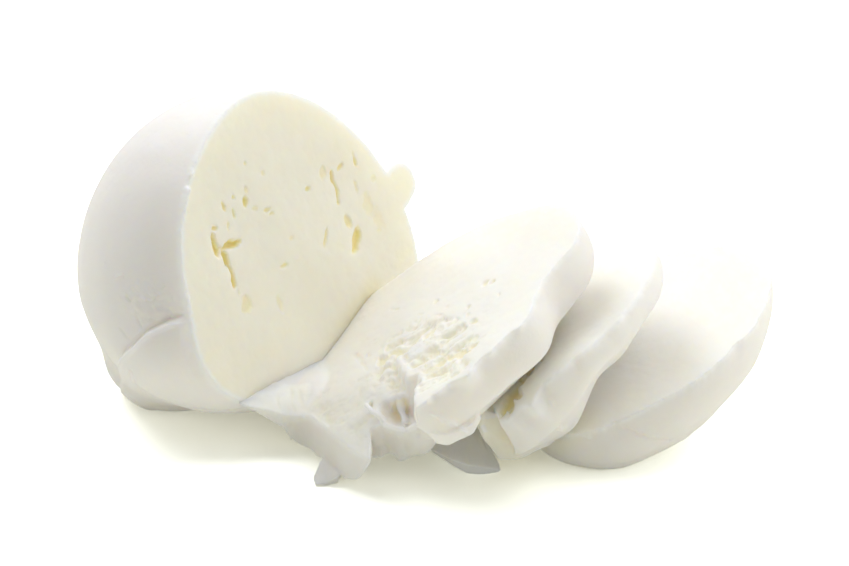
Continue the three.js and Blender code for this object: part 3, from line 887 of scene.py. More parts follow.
SHRED = [
    # the loose wet piece at the foot of the first two slices
    at_height(-1, (1, -80), (1.6, -82.6), (5, -87.6), (8.4, -92.2), (11, -93.8), (14.8, -92.6), (14.6, -87),
              (13, -80), (7, -76)),
    [(0.8, -84, 2.2), (2.2, -88.8, 2.8), (5.4, -93, 3.3), (9, -95, 3), (13, -93.8, 1.8), (16, -92, 0.2),
     (14.4, -87.4, 2), (12.6, -82, 3), (7, -78, 3)],
    [(1.6, -84, 3.2), (3.4, -87.6, 3.8), (6, -90.8, 4.3), (9, -91.8, 4.1), (11.6, -91, 3.2), (13.2, -89.4, 2.4),
     (12.6, -86, 3.4), (11.4, -82, 4.4), (6.6, -79.6, 4.4)],
    [(2.4, -83.6, 5), (4, -86.4, 5.2), (6.2, -88.2, 5.6), (8.8, -88.6, 5.5), (10.6, -87.8, 5.2), (11.6, -86.4, 5),
     (11.2, -84, 5.6), (10, -81.6, 6), (6.2, -81, 6)],
]
SHRED_TOP = (7.4, -84.6, 7.4)
UNDER_LAYER = [
    # the thin layer that hangs out under the second slice
    [(12.4, -94, 11.4), (14.4, -93.4, 8), (16, -93, 5.8), (19.6, -92, 5.6), (23.4, -90.4, 6.6), (25.4, -89, 6.3),
     (29, -85, 6.2), (27, -76, 7), (17, -76, 9), (12, -86, 11)],
    [(11.5, -99, 11.6), (13.7, -98.5, 7.9), (15.5, -98, 5.4), (19.6, -97, 5.2), (23.9, -95, 6.5), (25.8, -93, 6.1),
     (30, -86, 6), (28, -74, 7), (16, -74, 9), (11, -86, 11)],
    [(11.2, -99.8, 14.6), (13.6, -99.8, 12.6), (15.8, -99.6, 10.6), (19.6, -98.8, 9.4), (23.6, -97, 9.4),
     (26, -95, 9), (30, -88, 9), (28, -76, 10), (16, -76, 13), (10.6, -88, 15)],
    [(11.6, -98.4, 18), (13.4, -98.6, 17), (15.8, -98.6, 15.4), (19, -98, 13), (23, -96, 12), (26, -94, 11),
     (30, -88, 10.5), (28, -78, 12), (16, -78, 16), (11.4, -88, 18)],
]
MISSING_CORNER = [
    # the space that the second slice's torn-off corner has left
    at_height(-2, (2, -80), (2, -120), (20.5, -120), (20.5, -101), (18.5, -93), (15.5, -88), (11, -84)),
    at_height(11, (2, -82), (2, -120), (18.4, -120), (18.2, -102), (17, -95), (15, -90), (10, -86)),
    at_height(18, (2, -84), (2, -120), (14.6, -120), (14.4, -101), (14, -97), (12, -92), (8, -88)),
    at_height(30, (2, -84), (2, -120), (12, -120), (11.5, -101), (11, -97), (9, -92), (6, -88)),
]
TORN_LUMPS = (BLOCK, LOBE, LIP, WEB, FLAP, SHRED, UNDER_LAYER)
print("corners in the torn lumps:", sum(len(ring) for rings in TORN_LUMPS for ring in rings))

# %% Where the tear runs, as seen from above
TEAR_FRONT = [(-44, -132), (-1.6, -132), (-1.6, -118), (-1.9, -107), (-1.2, -104), (-1.4, -101)]
TEAR_BACK = [(-19, -81.5), (-24.5, -79), (-28.8, -78.4), (-31.4, -82)]
TEAR_LINE = [
    # around the torn-off space, with the bay's ragged edge
    *TEAR_FRONT, (-2.6, -98.4), (-4, -97.4), (-5.6, -96.6), (-7, -96.2), (-9, -95.6), (-10.7, -94.4), (-12.1, -93),
    (-13.8, -91), (-16.2, -86.4), *TEAR_BACK, (-44, -84)]
SAG_LINE = [
    # around everything on the left of the tear, where the first slice's end has sagged
    *TEAR_FRONT, (-3, -98.2), (-4.3, -94), (-5.3, -89), (-6.8, -84.2), (-16, -84.2), *TEAR_BACK, (-44, -84.2)]
FIRM_LINE = [
    # around everything on the right of the tear, where the slice has kept its shape
    (-2.8, -132), (60, -132), (60, -20), (-60, -20), (-60, -83.6), (-6.3, -83.6), (-4.7, -89), (-3.7, -94),
    (-2.9, -98.4), (-2.4, -101), (-2.3, -104), (-3, -107), (-2.8, -118)]
print("corners along the tear:", len(TEAR_LINE))

# %% Ridges, tears and the space above a face


def rope(name, corners, half_width, sides=14):
    """A thin rounded ridge along a chain of corners."""
    corners = np.asarray(corners, float)
    along = np.gradient(corners, axis=0)
    across = np.cross(along, (0.2, 0.1, 1))
    across /= np.linalg.norm(across, axis=1)[:, None]
    over = np.cross(along, across)
    over /= np.linalg.norm(over, axis=1)[:, None]
    turns = 2 * np.pi * np.arange(sides) / sides
    rings = corners[:, None] + half_width * (
        across[:, None] * np.cos(turns)[:, None] + over[:, None] * np.sin(turns)[:, None])
    return lump(name, rings, steps=1)


def tear(name, line, steps=10, ragged=1.1):
    """A tall space with ragged sides around a line of corners."""
    line = closed_curve(line, steps, 0.3)
    flat = np.column_stack([line, np.zeros(len(line))])
    line = line + ragged * np.column_stack([fractal(flat, 2.4, 3, seed) for seed in (61, 62)])
    heights = np.arange(-12, 61, 1.0)
    points = np.array([(x, y, z) for z in heights for x, y in line])
    fibre = points * (1, 1, 0.35)
    points[:, :2] += 0.8 * np.column_stack([fractal(fibre, 2.2, 3, seed) for seed in (63, 64)])
    rings = np.arange(len(points)).reshape(len(heights), -1)
    return solid(name, points, [rings[0, ::-1], rings[-1], *walls(rings)])


def above_face(name, spec, reach=46, height=45.0):
    """Everything above a slice's upper face, to trim what would stick out of it."""
    side = np.arange(-reach, reach + 1.0)
    x, y = (axis.ravel() for axis in np.meshgrid(side, side, indexing="ij"))
    low = np.column_stack([x, y, uneven(x, y) - droop(spec, x, y)])
    high = np.column_stack([x, y, np.full(len(x), height)])
    at = np.arange(len(x)).reshape(len(side), len(side))
    quads = np.stack([at[:-1, :-1], at[1:, :-1], at[1:, 1:], at[:-1, 1:]], axis=-1).reshape(-1, 4)
    border = np.concatenate([at[:-1, 0], at[-1, :-1], at[:0:-1, -1], at[0, :0:-1]])
    faces = [*quads[:, ::-1], *(quads + len(x)), *walls([border, border + len(x)])]
    return solid(name, off_slice(spec, np.vstack([low, high])), faces)


# %% Build the slices
BITES_1 = [
    # at, width in degrees, cut, and how deep under the face it runs out
    (6, 1.4, 1.2, 2), (12.5, 2.2, 0.8, 2), (20, 3, -2.0, 6), (30, 1.3, -0.8, 2), (37, 3, 0.6, 2.5), (42, 1.4, -0.7, 2),
    (53, 3, 0.7, 2.5), (66, 2.5, 0.5, 2.5), (76, 3, 0.4, 2.5), (98, 4, 0.5, 3)]
BITES_2 = [(12, 2, 0.7, 2.5), (26, 2.5, 0.5, 2.5), (44, 3, 0.5, 3), (5, 3, -2.2, 5), (-6, 3, -1.0, 5)]
BITES_3 = [(40, 4, 0.6, 4), (-20, 3, 0.7, 4)]

first, second, third = (SLICES[name] for name in ("slice_1", "slice_2", "slice_3"))

slice_3 = carve(domed_slice("domed_end_slice", third, bites=BITES_3), cut=[board("board")], soften=1)
slice_2 = carve(
    carve(flat_slice("second_slice", second, bites=BITES_2),
          cut=[lump("missing_corner", MISSING_CORNER, ragged=1.1)], soften=0),
    join=[lump("under_layer", UNDER_LAYER, ragged=0.25)],
    cut=[domed_slice("below", third, GAP), board("board")], soften=1)
firm = dict(first, sags=[])
slice_1 = trim(
    flat_slice("first_slice", firm, bites=BITES_1), tear("firm_edge", SAG_LINE),
    lump("corner", FIRM_CORNER, ragged=0.5, round_off=0.1))
sagged = trim(flat_slice("sagged_end", first), tear("tear", TEAR_LINE), tear("sag_edge", FIRM_LINE))
slice_1 = carve(
    slice_1,
    join=[
        sagged,
        trim(lump("block", BLOCK, ragged=0.3), above_face("above_block", first)),
        trim(lump("lobe", LOBE, ragged=0.25), above_face("above_lobe", first)),
        lump("lip", LIP, ragged=0.2),
        lump("web", WEB, ragged=0.25),
        lump("flap", FLAP, ragged=0.2, round_off=0.1),
        *(rope(f"ridge_{n}", corners, half) for n, (corners, half) in enumerate(RIDGES)),
    ],
    cut=[
        flat_slice("below", second, GAP),
        lump("below_too", UNDER_LAYER, grow=LUMP_GAP),
        cut_ball("beside", WET_GAP, voxel=COARSE_NET, detail=40),
        board("board"),
    ], soften=1)
shred = carve(
    lump("torn_rind", SHRED, SHRED_TOP, ragged=0.2, round_off=0.35),
    cut=[
        flat_slice("behind", second, GAP),
        lump("behind_too", UNDER_LAYER, grow=LUMP_GAP),
        lump("above_too", LOBE, grow=LUMP_GAP),
        flat_slice("above", firm, GAP),
        board("board"),
    ], voxel=FINE_NET, soften=1)
for made in (slice_1, slice_2, slice_3, shred):
    print(made.name, len(made.data.polygons), "quads")

# %% [markdown]
# ### Crumbs, pits and cells
# The first slice's face tore open where the curd's layers had not grown together: a chain of pits climbs across
# it and a second one lies nearer the front. Where two slices touch, wet curd sticks and pulls into cells.
# Every such corner lies in shade, so a yellow shade is painted there, worked out from how near the neighbour is.

# %% Marks of the slices' faces
SLICE_HOLE_SHARE = {"slice_1": 0.4, "slice_2": 0.75, "slice_3": 0.75}  # the share of each depth that is really cut
SLICE_HOLLOWS = {
    "slice_1": [
        # towards the front, up the slope; halves, turn, depth
        ((4.5, 2.9), (1.8, 1.2), 10, 1.7),
        ((3.4, -1.0), (1.6, 1.1), 0, 1.7),
        ((3.2, -5.4), (3.0, 1.1), 42, 2.0),
        ((-1.5, -7.7), (1.2, 0.8), 0, 1.2),
        ((2.7, -9.3), (2.2, 1.3), 20, 1.8),
        ((5.8, 5.5), (1.8, 0.6), 42, 0.7),
        ((10.9, 10.0), (1.1, 0.5), 42, 0.8),
        ((11.7, 13.6), (1.2, 0.8), 42, 1.6),
        ((22.0, 9.9), (3.6, 1.5), 42, 2.4),
        ((23.2, 13.7), (1.4, 0.8), 20, 2.0),
        ((20.4, 13.9), (1.4, 0.8), 0, 0.9),
        ((20.3, 5.5), (2.6, 1.2), 12, 2.2),
        ((20.8, 3.0), (2.2, 1.0), 42, 1.3),
        ((26.8, 6.4), (2.0, 0.8), 0, 0.8),
        ((16.0, -2.9), (0.9, 0.6), 42, 1.4),
        ((7.4, -6.6), (1.3, 0.8), 30, 1.3),
        ((11.2, -7.8), (0.9, 0.5), 0, 1.2),
        ((8.6, -11.2), (2.2, 1.3), 0, 0.6),
        ((-17.1, -5.6), (1.7, 0.5), 42, 0.7),
        ((-6.8, 0.9), (0.9, 0.4), 42, 0.4),
        ((-0.9, 5.6), (1.3, 0.5), 42, 0.8),
        ((-2.6, 7.5), (0.7, 0.4), 42, 0.5),
        ((-8.8, 4.5), (0.6, 0.5), 0, 0.8),
        ((4.1, 12.6), (0.9, 0.5), 0, 1.1),
        ((7.3, 12.4), (0.7, 0.4), 0, 0.6),
        ((7.2, 20.3), (0.9, 0.4), 0, 0.7),
        ((-1.8, 17.0), (0.9, 0.7), 0, 1.1),
        ((-0.2, 18.9), (0.8, 0.7), 0, 1.2),
    ],
    "slice_2": [
        ((25.4, -3.0), (4.0, 1.3), -52, 2.2),
        ((28.4, -2.6), (2.2, 0.8), 0, 1.6),
        ((27.0, -0.4), (1.9, 0.8), 30, 1.5),
        ((18.0, 2.0), (4.4, 1.3), -25, 2.2),
    ],
}
SLICE_CRACKS = {
    "slice_1": [
        (((-3, -31.6), (3.8, -32.6)), 0.5, 0.45),
        (((-2.5, -29.8), (3.6, -30.6)), 0.5, 0.45),
        (((-1.5, -28.4), (3.4, -28.9)), 0.45, 0.35),
        (((-8.0, -16.2), (-3.0, -14.4), (3.0, -12.8)), 0.8, 0.5),
    ],
}
CRUMBLED = {
    # at, halves, turn, how deep it has crumbled
    "slice_1": [((13, 1.5), (18.5, 9.0), 31, 1.5), ((14, -22), (14, 9), 0, 0.5)],
}
RIND_FOLDS = {
    # points, width, height, where less than nothing is a groove
    "slice_1": [(((1.1, -115, 26.4), (4.8, -115, 23.7), (7.8, -112.8, 20.5), (10, -105, 15)), 1.1, 0.6)],
    "slice_2": [
        (((21.7, -105, 22.2), (24.6, -104.5, 18.8), (27.4, -100, 14.3), (31, -94.7, 13.3)), 1.0, 0.5),
        (((25, -106, 24), (26.4, -103, 19), (27.4, -100, 14.3)), 0.8, 0.3),
    ],
    "slice_3": [
        (((39.9, -95.6, 12.6), (43, -95.7, 11.1), (46.2, -94.9, 9.2), (50.6, -92, 7.2)), 0.7, -0.3),
        (((30.9, -93, 9.6), (33.5, -94.6, 9.5)), 1.2, 0.7),
    ],
}
CURD_GRAIN, CURD_WAVE = 0.10, 0.14
RIND_WAVE, RIND_RIPPLE = 0.25, 0.12
WEB_END, WEB_FOOT = -24.5, 8  # the web's top, left of the one and above the other, looks like a cut face
BAY_START = -14.5  # the bay lies on the right of this
POCKET_SHADE_HEIGHT, POCKET_SHADE_FORWARD = (12.5, 14.5), (-99.5, -97.5)  # where shade is painted in the bay
FACE_REACH, FACE_FACING, WEB_FACING = 0.5, 0.66, 0.6  # how near its level and how well turned a face has to be
print("crumbled fields:", sum(map(len, CRUMBLED.values())), "folds in the rind:", sum(map(len, RIND_FOLDS.values())))

# %% Relief of the slices
TOUCHING = 0.4  # pieces nearer than this count as touching


def nearness(made, other, reach):
    """1 where a piece touches its neighbour, 0 from the reach on. Every third vertex of the neighbour is enough."""
    return smoothstep(distance_to(places_of(made), places_of(other)[::3]), reach, TOUCHING)


def crumbled(local, fields):
    """How deep a face has crumbled: bent noise for torn layers, and a finer one for the crumbs in them."""
    bent = local + 1.6 * np.column_stack([noise(local, 5.0, seed) for seed in (22, 23, 24)])
    torn = smoothstep(fractal(bent * (1.3, 0.6, 1), 3.4, 4, seed=21), -0.2, 0.55)
    fine = np.clip(fractal(bent, 1.5, 3, seed=25), -0.2, 0.6)
    total = np.zeros(len(local))
    for at, halves, turn, size in fields:
        zone = hollow(local[:, :2], at, halves, turn, 1.0, ragged=0.2, wall=0.7)
        total = np.maximum(total, zone * size * torn) + 0.4 * size * zone * fine
    return total


def finish_slice(made, name):
    """Carves a slice's relief and stores its masks. The top of the first slice's web is dressed as cut face too."""
    spec = SLICES[name]
    places, normals = places_of(made), normals_of(made)
    axes = slope_axes(spec)
    local = on_slice(spec, places)
    x, y, z = local.T
    torn = name == "slice_1"
    torn_off = inside_of(places[:, :2], TEAR_LINE) & torn
    sagged = inside_of(places[:, :2], SAG_LINE) | (not torn)  # the other slices have sagged as a whole
    level = uneven(x, y) - droop(spec, x, y) * sagged
    web = torn_off & (places[:, 0] < WEB_END) & (places[:, 2] > WEB_FOOT) & (normals[:, 2] > WEB_FACING)
    face = web | ((np.abs(z - level) < FACE_REACH) & (normals @ axes[2] > FACE_FACING))
    edge = distance_to_edge(made, face)

    # the cut face: holes, crumbled fields and grain
    inward = face * smoothstep(edge, 0.2, 1.2)
    depth = SLICE_HOLE_SHARE[name] * marks(
        local[:, :2], SLICE_HOLLOWS.get(name, ()), SLICE_CRACKS.get(name, ()), ragged=0.7, wall=0.9)
    crumbs = crumbled(local, CRUMBLED[name]) if name in CRUMBLED else np.zeros(len(z))
    grain = CURD_GRAIN * fractal(places, 2.2, 3, seed=31) + CURD_WAVE * noise(places, 8.0, seed=34)
    places = places - axes[2] * (np.maximum(depth, crumbs) * inward - grain * face)[:, None]

    # the rind: waves and folds, and the fibres of the bay
    rind = ~face * smoothstep(edge, 0.2, 1.5)
    lift = RIND_WAVE * noise(places, 9.0, seed=36) + RIND_RIPPLE * noise(places, 3.2, seed=37)
    for points, width, height in RIND_FOLDS[name]:
        lift += chain(places, points, width, height, ragged=0.25)
    bay = torn_off * (places[:, 0] > BAY_START) * (z < level - 0.6)
    lift += bay * 0.35 * fractal(places * (1, 1, 0.4), 1.8, 3, seed=38)
    places = places + normals * (lift * rind)[:, None]
    places[:, 2] = np.clip(places[:, 2], 0, None)
    move_to(made, places)

    # the masks: a yellow shade is painted in holes, crumbled fields, the bay and the second slice's missing corner
    streaks = smoothstep(noise(places * (1, 0.5, 0.15), 2.6, seed=39), -0.35, 0.5)
    forward, height = places[:, 1:].T
    pocket_shade = 0.6 * bay * smoothstep(height, *POCKET_SHADE_HEIGHT) * smoothstep(forward, *POCKET_SHADE_FORWARD) * streaks
    # painted shade in the hollow that the missing corner has left
    if name == "slice_2":  # the hollow that its missing corner has left
        inner = (places[:, 0] < 25) & (forward > -99.9) & (height < 16) & ~face
        pocket_shade = 0.45 * inner * smoothstep(places[:, 0] + height * 0.4, 28, 18)
    shade = np.maximum(depth * inward / 1.6, crumbs * inward * 0.25)
    keep_mask(made, "cut_face", face)
    keep_mask(made, "hole", np.maximum(shade, 0.7 * pocket_shade))
    keep_mask(made, "rim", smoothstep(edge, 1.0, 0.1) * 0.7)
    return depth


for made, name in ((slice_1, "slice_1"), (slice_2, "slice_2"), (slice_3, "slice_3")):
    depth = finish_slice(made, name)
    print(made.name, "deepest hole", round(float(depth.max()), 2), "mm")

# %% Painted shade where the pieces touch
SEAM_SHADE = (
    # a piece, its neighbour, how far the painted shade reaches from there, and how strong its tint is
    (ball, slice_1, 4.6, 0.45),
    (slice_2, slice_1, 3.0, 0.4),
    (slice_3, slice_2, 6.0, 0.35),
)
SEAM_SHADE_FADE = (-27, -15)  # towards the left, the painted shade at the foot of the cut face fades out
FAINT_SEAM_SHADE, FAINT_REACH = 0.14, 9.0  # painted shade on the first slice's own face, near the ball
# painted shade: a yellow tint wherever a piece lies near its neighbour
for made, other, reach, strength in SEAM_SHADE:
    flow = 0.8 + 0.35 * fractal(places_of(made), 5.0, 3, seed=71)
    near = nearness(made, other, reach) * strength * flow
    if made is ball:
        near *= smoothstep(places_of(ball)[:, 0], *SEAM_SHADE_FADE)
    keep_mask(made, "seam_shade", near)
    print(made.name, "has whey on", round(100 * float(np.mean(near > 0.1)), 1), "% of its vertices")
keep_mask(slice_1, "seam_shade", FAINT_SEAM_SHADE * nearness(slice_1, ball, FAINT_REACH))
for name in ("cut_face", "hole", "seam_shade", "rim"):
    keep_mask(shred, name, np.zeros(len(shred.data.vertices)))

# %% [markdown]
# ## From the drawing to the part
# The drawing is in millimetres, on axes that suited the drawing. The part is in metres about its own origin on
# the board, so each piece moves over. It then rides on the part's one body, takes the place of its plain solid
# and keeps that solid's material slot. Crumbs need a net of a third of a millimetre, but calm skin doesn't. A
# Decimate modifier thins out the flat stretches first, and the masks stored on the vertices come through it.

# %% Turn the drawing into metres and thin out the calm stretches
MOST_TRIANGLES = 185_000


def deliver(made, nodes):
    """Finishes a piece and hands it to the part."""
    triangles = sum(len(face.vertices) - 2 for face in made.data.polygons)
    if triangles > MOST_TRIANGLES:
        thin = made.modifiers.new("thin", "DECIMATE")
        thin.ratio = MOST_TRIANGLES / triangles
        settle(made)
    move_to(made, (places_of(made) + ROW_ORIGIN) * MM)
    made.data.polygons.foreach_set("use_smooth", [True] * len(made.data.polygons))
    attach(made, "root")
    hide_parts(*nodes)
    print(made.name, triangles, "triangles before thinning")


# %% [markdown]
# ## What curd looks like
# Fresh curd is white, but never flat white. Light goes a few millimetres in and comes out again a little warmer,
# because red light wanders further than blue. This is the subsurface part of the Principled shader. The skin is
# cool and faintly shiny, and the cut face is creamier. The ball's cut face stands nearly upright and gets less
# light than the slices' faces, which look up, so it is painted creamier still: painted shade and bounced light.
# Light that has bounced about in a hole, a crumbled field, the torn bay or a seam where two pieces touch comes out
# yellow, and this yellow is painted there as shade. The colours could be painted by hand. Here the masks on the
# vertices choose between four of them, so they follow every change of the form. One node group does this for all
# three finishes. It gives out colour, roughness and a normal with a fine grain, and the shader stays in each material.

# %% The node group that reads the masks
CLOUDS = 0.14  # how strongly the cut face is clouded with the colour of its depths
SATIN, SATIN_RANGE = 0.36, 0.25  # roughness of the wettest patches, and how much duller others are
FINE_GRAIN = 0.35  # the fine grain's share beside the soft one
GRAIN_HEIGHT = 0.0005  # metres


def group_of(name, inputs, outputs):
    """A node group with named sockets, and the nodes for what goes into it and comes out."""
    tree = bpy.data.node_groups.new(name, "ShaderNodeTree")
    for socket, kind in inputs.items():
        tree.interface.new_socket(socket, in_out="INPUT", socket_type=kind)
    for socket, kind in outputs.items():
        tree.interface.new_socket(socket, in_out="OUTPUT", socket_type=kind)
    return tree, tree.nodes.new("NodeGroupInput"), tree.nodes.new("NodeGroupOutput")


def curd_group():
    """Colour, roughness and normal of fresh curd from the masks on the mesh."""
    tree, into, out = group_of(
        "fresh_curd",
        {"Skin": "NodeSocketColor", "Cut": "NodeSocketColor", "Shade_and_cloud": "NodeSocketColor", "Edge": "NodeSocketColor",
         "Grain": "NodeSocketFloat"},
        {"Color": "NodeSocketColor", "Roughness": "NodeSocketFloat", "Normal": "NodeSocketVector"})
    new, link = tree.nodes.new, tree.links.new

    def mask(name):
        node = new("ShaderNodeAttribute")
        node.attribute_name = name
        return node.outputs["Fac"]

    def mixed(factor, one, other):
        node = new("ShaderNodeMix")
        node.data_type = "RGBA"
        link(factor, node.inputs["Factor"])
        link(one, node.inputs[6])
        link(other, node.inputs[7])
        return node.outputs[2]

    def noise_node(scale, detail, source):
        # scale is in waves to a metre, so 1400 is a grain of about 0.7 mm
        node = new("ShaderNodeTexNoise")
        node.inputs["Scale"].default_value = scale
        node.inputs["Detail"].default_value = detail
        link(source, node.inputs["Vector"])
        return node.outputs["Fac"]

    def math_node(operation, *values):
        node = new("ShaderNodeMath")
        node.operation = operation
        for socket, value in zip(node.inputs, values):
            if isinstance(value, (int, float)):
                socket.default_value = value
            else:
                link(value, socket)
        return node.outputs[0]

    place = new("ShaderNodeTexCoord").outputs["Object"]
    colour = mixed(mask("cut_face"), into.outputs["Skin"], into.outputs["Cut"])
    colour = mixed(mask("rim"), colour, into.outputs["Edge"])
    cloudy = math_node("MULTIPLY", noise_node(230, 5, place), CLOUDS)
    colour = mixed(math_node("MULTIPLY", cloudy, mask("cut_face")), colour, into.outputs["Shade_and_cloud"])
    # painted shade: the yellow shade colour is mixed in where pieces touch, and in holes, crumbled fields, the bay and
    # the corner hollow
    colour = mixed(mask("seam_shade"), colour, into.outputs["Shade_and_cloud"])
    colour = mixed(mask("hole"), colour, into.outputs["Shade_and_cloud"])
    link(colour, out.inputs["Color"])

    patches = noise_node(300, 3, place)
    link(math_node("MULTIPLY_ADD", patches, SATIN_RANGE, SATIN), out.inputs["Roughness"])

    fine = noise_node(1400, 4, place)
    soft = noise_node(380, 3, place)
    height = math_node("ADD", math_node("MULTIPLY", fine, FINE_GRAIN), soft)
    bump = new("ShaderNodeBump")
    bump.inputs["Distance"].default_value = GRAIN_HEIGHT
    link(into.outputs["Grain"], bump.inputs["Strength"])
    link(height, bump.inputs["Height"])
    link(bump.outputs["Normal"], out.inputs["Normal"])
    return tree


CURD = curd_group()
print("the group takes", [item.name for item in CURD.interface.items_tree if item.in_out == "INPUT"])

# %% The three finishes of curd
TORN_EDGE = (0.95, 0.94, 0.91)
GRAIN = 0.25
TRANSLUCENT = 0.85  # the share of light that goes in
LIGHT_REACH, REACH_BY_COLOUR = 0.007, (1.0, 0.86, 0.6)  # metres, and the share of it for red, green and blue
WATER_IN_CURD = 1.4  # index of refraction, a little above that of water
FILM_ROUGHNESS = 0.15


def curd_material(name, skin, cut, deep, wet=0.0):
    """Fresh curd with the colours of its skin, its cut faces and its depths. The depth colour is painted as shade in
    holes and seams, and clouds the cut face. Wet adds a film of the curd's own watery liquid.
    """
    material = bpy.data.materials.new(name)
    material.use_nodes = True
    nodes, links = material.node_tree.nodes, material.node_tree.links
    shader = nodes["Principled BSDF"]
    curd = nodes.new("ShaderNodeGroup")
    curd.node_tree = CURD
    for socket, colour in (("Skin", skin), ("Cut", cut), ("Shade_and_cloud", deep), ("Edge", TORN_EDGE)):
        curd.inputs[socket].default_value = (*colour, 1)
    curd.inputs["Grain"].default_value = GRAIN
    links.new(curd.outputs["Color"], shader.inputs["Base Color"])
    links.new(curd.outputs["Roughness"], shader.inputs["Roughness"])
    links.new(curd.outputs["Normal"], shader.inputs["Normal"])
    shader.inputs["IOR"].default_value = WATER_IN_CURD
    shader.inputs["Subsurface Weight"].default_value = TRANSLUCENT
    shader.inputs["Subsurface Radius"].default_value = REACH_BY_COLOUR
    shader.inputs["Subsurface Scale"].default_value = LIGHT_REACH
    shader.inputs["Coat Weight"].default_value = wet
    shader.inputs["Coat Roughness"].default_value = FILM_ROUGHNESS
    return material


# The ball's cut colour is painted creamier than the slices' cut colour, as painted shade and bounced light, because its
# face stands nearly upright and gets less light.
BALL_CURD = curd_material(
    "ball_curd", skin=(0.925, 0.892, 0.87), cut=(0.965, 0.90, 0.79), deep=(0.96, 0.83, 0.43))
SLICE_CURD = curd_material(
    "slice_curd", skin=(0.895, 0.87, 0.84), cut=(0.94, 0.92, 0.885), deep=(0.95, 0.85, 0.52))
# The shred's skin is painted lighter than the slices' rind, as painted light, because it lies in the shade under the
# first slice.
WET_CURD = curd_material(
    "wet_curd", skin=(0.97, 0.96, 0.93), cut=(0.95, 0.94, 0.90), deep=(0.93, 0.80, 0.46), wet=0.7)

# %% Hand over the five pieces
for made, node, slot, material in (
    (ball, "ball", "ball_curd", BALL_CURD),
    (slice_1, "slice_1", "slice_curd", SLICE_CURD),
    (slice_2, "slice_2", "slice_curd", SLICE_CURD),
    (slice_3, "slice_3", "slice_curd", SLICE_CURD),
    (shred, "torn_shred", "wet_curd", WET_CURD),
):
    made.data.materials.clear()
    made.data.materials.append(material)
    deliver(made, [node])
    low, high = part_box(node)
    mine = places_of(made)
    print(node, "box off by, mm:", np.round((mine.min(0) - low) / MM, 2), np.round((mine.max(0) - high) / MM, 2))

# %% [markdown]
# ## A white table under soft light
# Four large soft lamps stand around white paper: one overhead, one on each side, and one low behind that lifts
# the thin edges. Small lamps would give hard shadows, and fresh curd would look like plaster in them. The paper
# has to look brighter to the camera than it is to the cheese, or its light would wash out the shadows under the
# slices. In the same way the air is dim as a light, and bright only as a reflection in wet curd. A Light Path
# node tells the kinds of ray apart. The paper is only a stage and stays out of the part.

# %% Lamps


def area_light(name, place, aim, size, power):
    """A round soft lamp that looks at a point."""
    lamp = bpy.data.lights.new(name, "AREA")
    lamp.shape = "DISK"
    lamp.size = size
    lamp.energy = power
    made = bpy.data.objects.new(name, lamp)
    bpy.context.scene.collection.objects.link(made)
    made.location = place
    made.rotation_euler = (Vector(aim) - Vector(place)).to_track_quat("-Z", "Y").to_euler()
    return made


for lamp in (
    area_light("overhead_softbox", (0.40, 0.25, 0.9), (0, 0, 0.02), 0.8, 4.2),
    area_light("left_softbox", (-0.35, 0.25, 0.9), (0, 0, 0.02), 0.8, 3.7),
    area_light("right_softbox", (0.8, -0.1, 0.45), (0, 0, 0.02), 0.9, 2.1),
    area_light("back_softbox", (-0.5, 0.75, 0.6), (0, 0, 0.04), 0.6, 2.4),
):
    print(lamp.name, round(lamp.location.length, 2), "m away,", round(lamp.data.energy, 1), "W")

# %% Paper and air
PAPER_HALF = 3.0
PAPER_COLOUR, PAPER_GLOW = (0.88, 0.88, 0.79, 1), (1, 1, 0.88, 1)
FLOOR_BOUNCE = 0.13
PAPER_SEEN = (0.98, 1.02, 1.03, 1)  # what the paper sends back to the camera on top of its own colour
AIR_COLOUR = (0.99, 1.0, 0.99, 1)
AIR_LIGHT, AIR_SHINE = 0.25, 1.0  # how bright the air is as a light, and as a reflection


def strength_by_ray(tree, ray, for_it, for_others):
    """A strength for one kind of ray, and another for all others."""
    path = tree.nodes.new("ShaderNodeLightPath")
    choice = tree.nodes.new("ShaderNodeMath")
    choice.operation = "MULTIPLY_ADD"
    choice.inputs[1].default_value, choice.inputs[2].default_value = for_it - for_others, for_others
    tree.links.new(path.outputs[ray], choice.inputs[0])
    return choice.outputs[0]


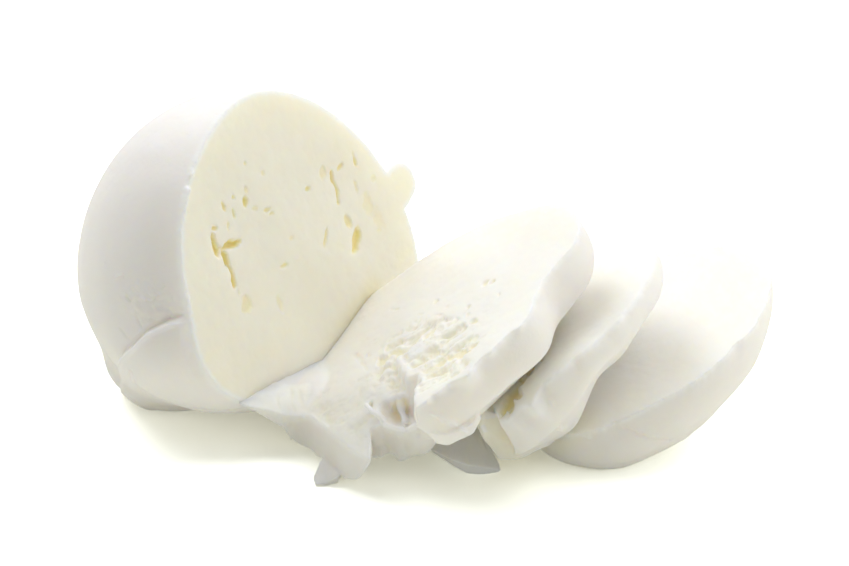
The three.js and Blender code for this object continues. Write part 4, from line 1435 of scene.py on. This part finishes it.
def studio_paper():
    """White paper that glows faintly onto what stands on it, and looks whiter still to the camera."""
    paper = bpy.data.materials.new("studio_paper")
    paper.use_nodes = True
    tree = paper.node_tree
    shader = tree.nodes["Principled BSDF"]
    shader.inputs["Base Color"].default_value = PAPER_COLOUR
    shader.inputs["Roughness"].default_value = 0.7
    shader.inputs["Emission Color"].default_value = PAPER_GLOW
    bounce = strength_by_ray(tree, "Is Camera Ray", 0, FLOOR_BOUNCE)
    tree.links.new(bounce, shader.inputs["Emission Strength"])
    tint = tree.nodes.new("ShaderNodeMix")
    tint.data_type = "RGBA"
    tint.inputs[6].default_value = (0, 0, 0, 1)
    tint.inputs[7].default_value = PAPER_SEEN
    tree.links.new(strength_by_ray(tree, "Is Camera Ray", 1, 0), tint.inputs["Factor"])
    seen = tree.nodes.new("ShaderNodeBsdfDiffuse")
    tree.links.new(tint.outputs[2], seen.inputs["Color"])
    both = tree.nodes.new("ShaderNodeAddShader")
    tree.links.new(shader.outputs["BSDF"], both.inputs[0])
    tree.links.new(seen.outputs["BSDF"], both.inputs[1])
    tree.links.new(both.outputs["Shader"], tree.nodes["Material Output"].inputs["Surface"])
    return paper


corners = PAPER_HALF * np.array([(-1, -1, 0), (1, -1, 0), (1, 1, 0), (-1, 1, 0)])
floor = solid("studio_floor", corners, [(0, 1, 2, 3)])
floor.data.materials.append(studio_paper())

air = bpy.data.worlds.new("studio_air")
air.use_nodes = True
background = air.node_tree.nodes["Background"]
background.inputs["Color"].default_value = AIR_COLOUR
shine = strength_by_ray(air.node_tree, "Is Glossy Ray", AIR_SHINE, AIR_LIGHT)
air.node_tree.links.new(shine, background.inputs["Strength"])
bpy.context.scene.world = air
bpy.context.scene.view_settings.view_transform = "Standard"
print("the paper gives back", FLOOR_BOUNCE, "and the air", AIR_LIGHT)

# %% Camera
CAMERA_RISE = math.radians(25)
CAMERA_DISTANCE = 0.700
LENS = 126.3
SENSOR = 36.0
TARGET = Vector(ROW_ORIGIN * MM)

lens = bpy.data.cameras.new("studio_camera")
lens.lens = LENS
lens.sensor_width = SENSOR
lens.clip_start, lens.clip_end = 0.01, 10.0
camera = bpy.data.objects.new("studio_camera", lens)
bpy.context.scene.collection.objects.link(camera)
camera.location = TARGET + CAMERA_DISTANCE * Vector((0, -math.cos(CAMERA_RISE), math.sin(CAMERA_RISE)))
camera.rotation_euler = (TARGET - camera.location).to_track_quat("-Z", "Y").to_euler()
bpy.context.scene.camera = camera
print("the camera is at", np.round(camera.location, 3))
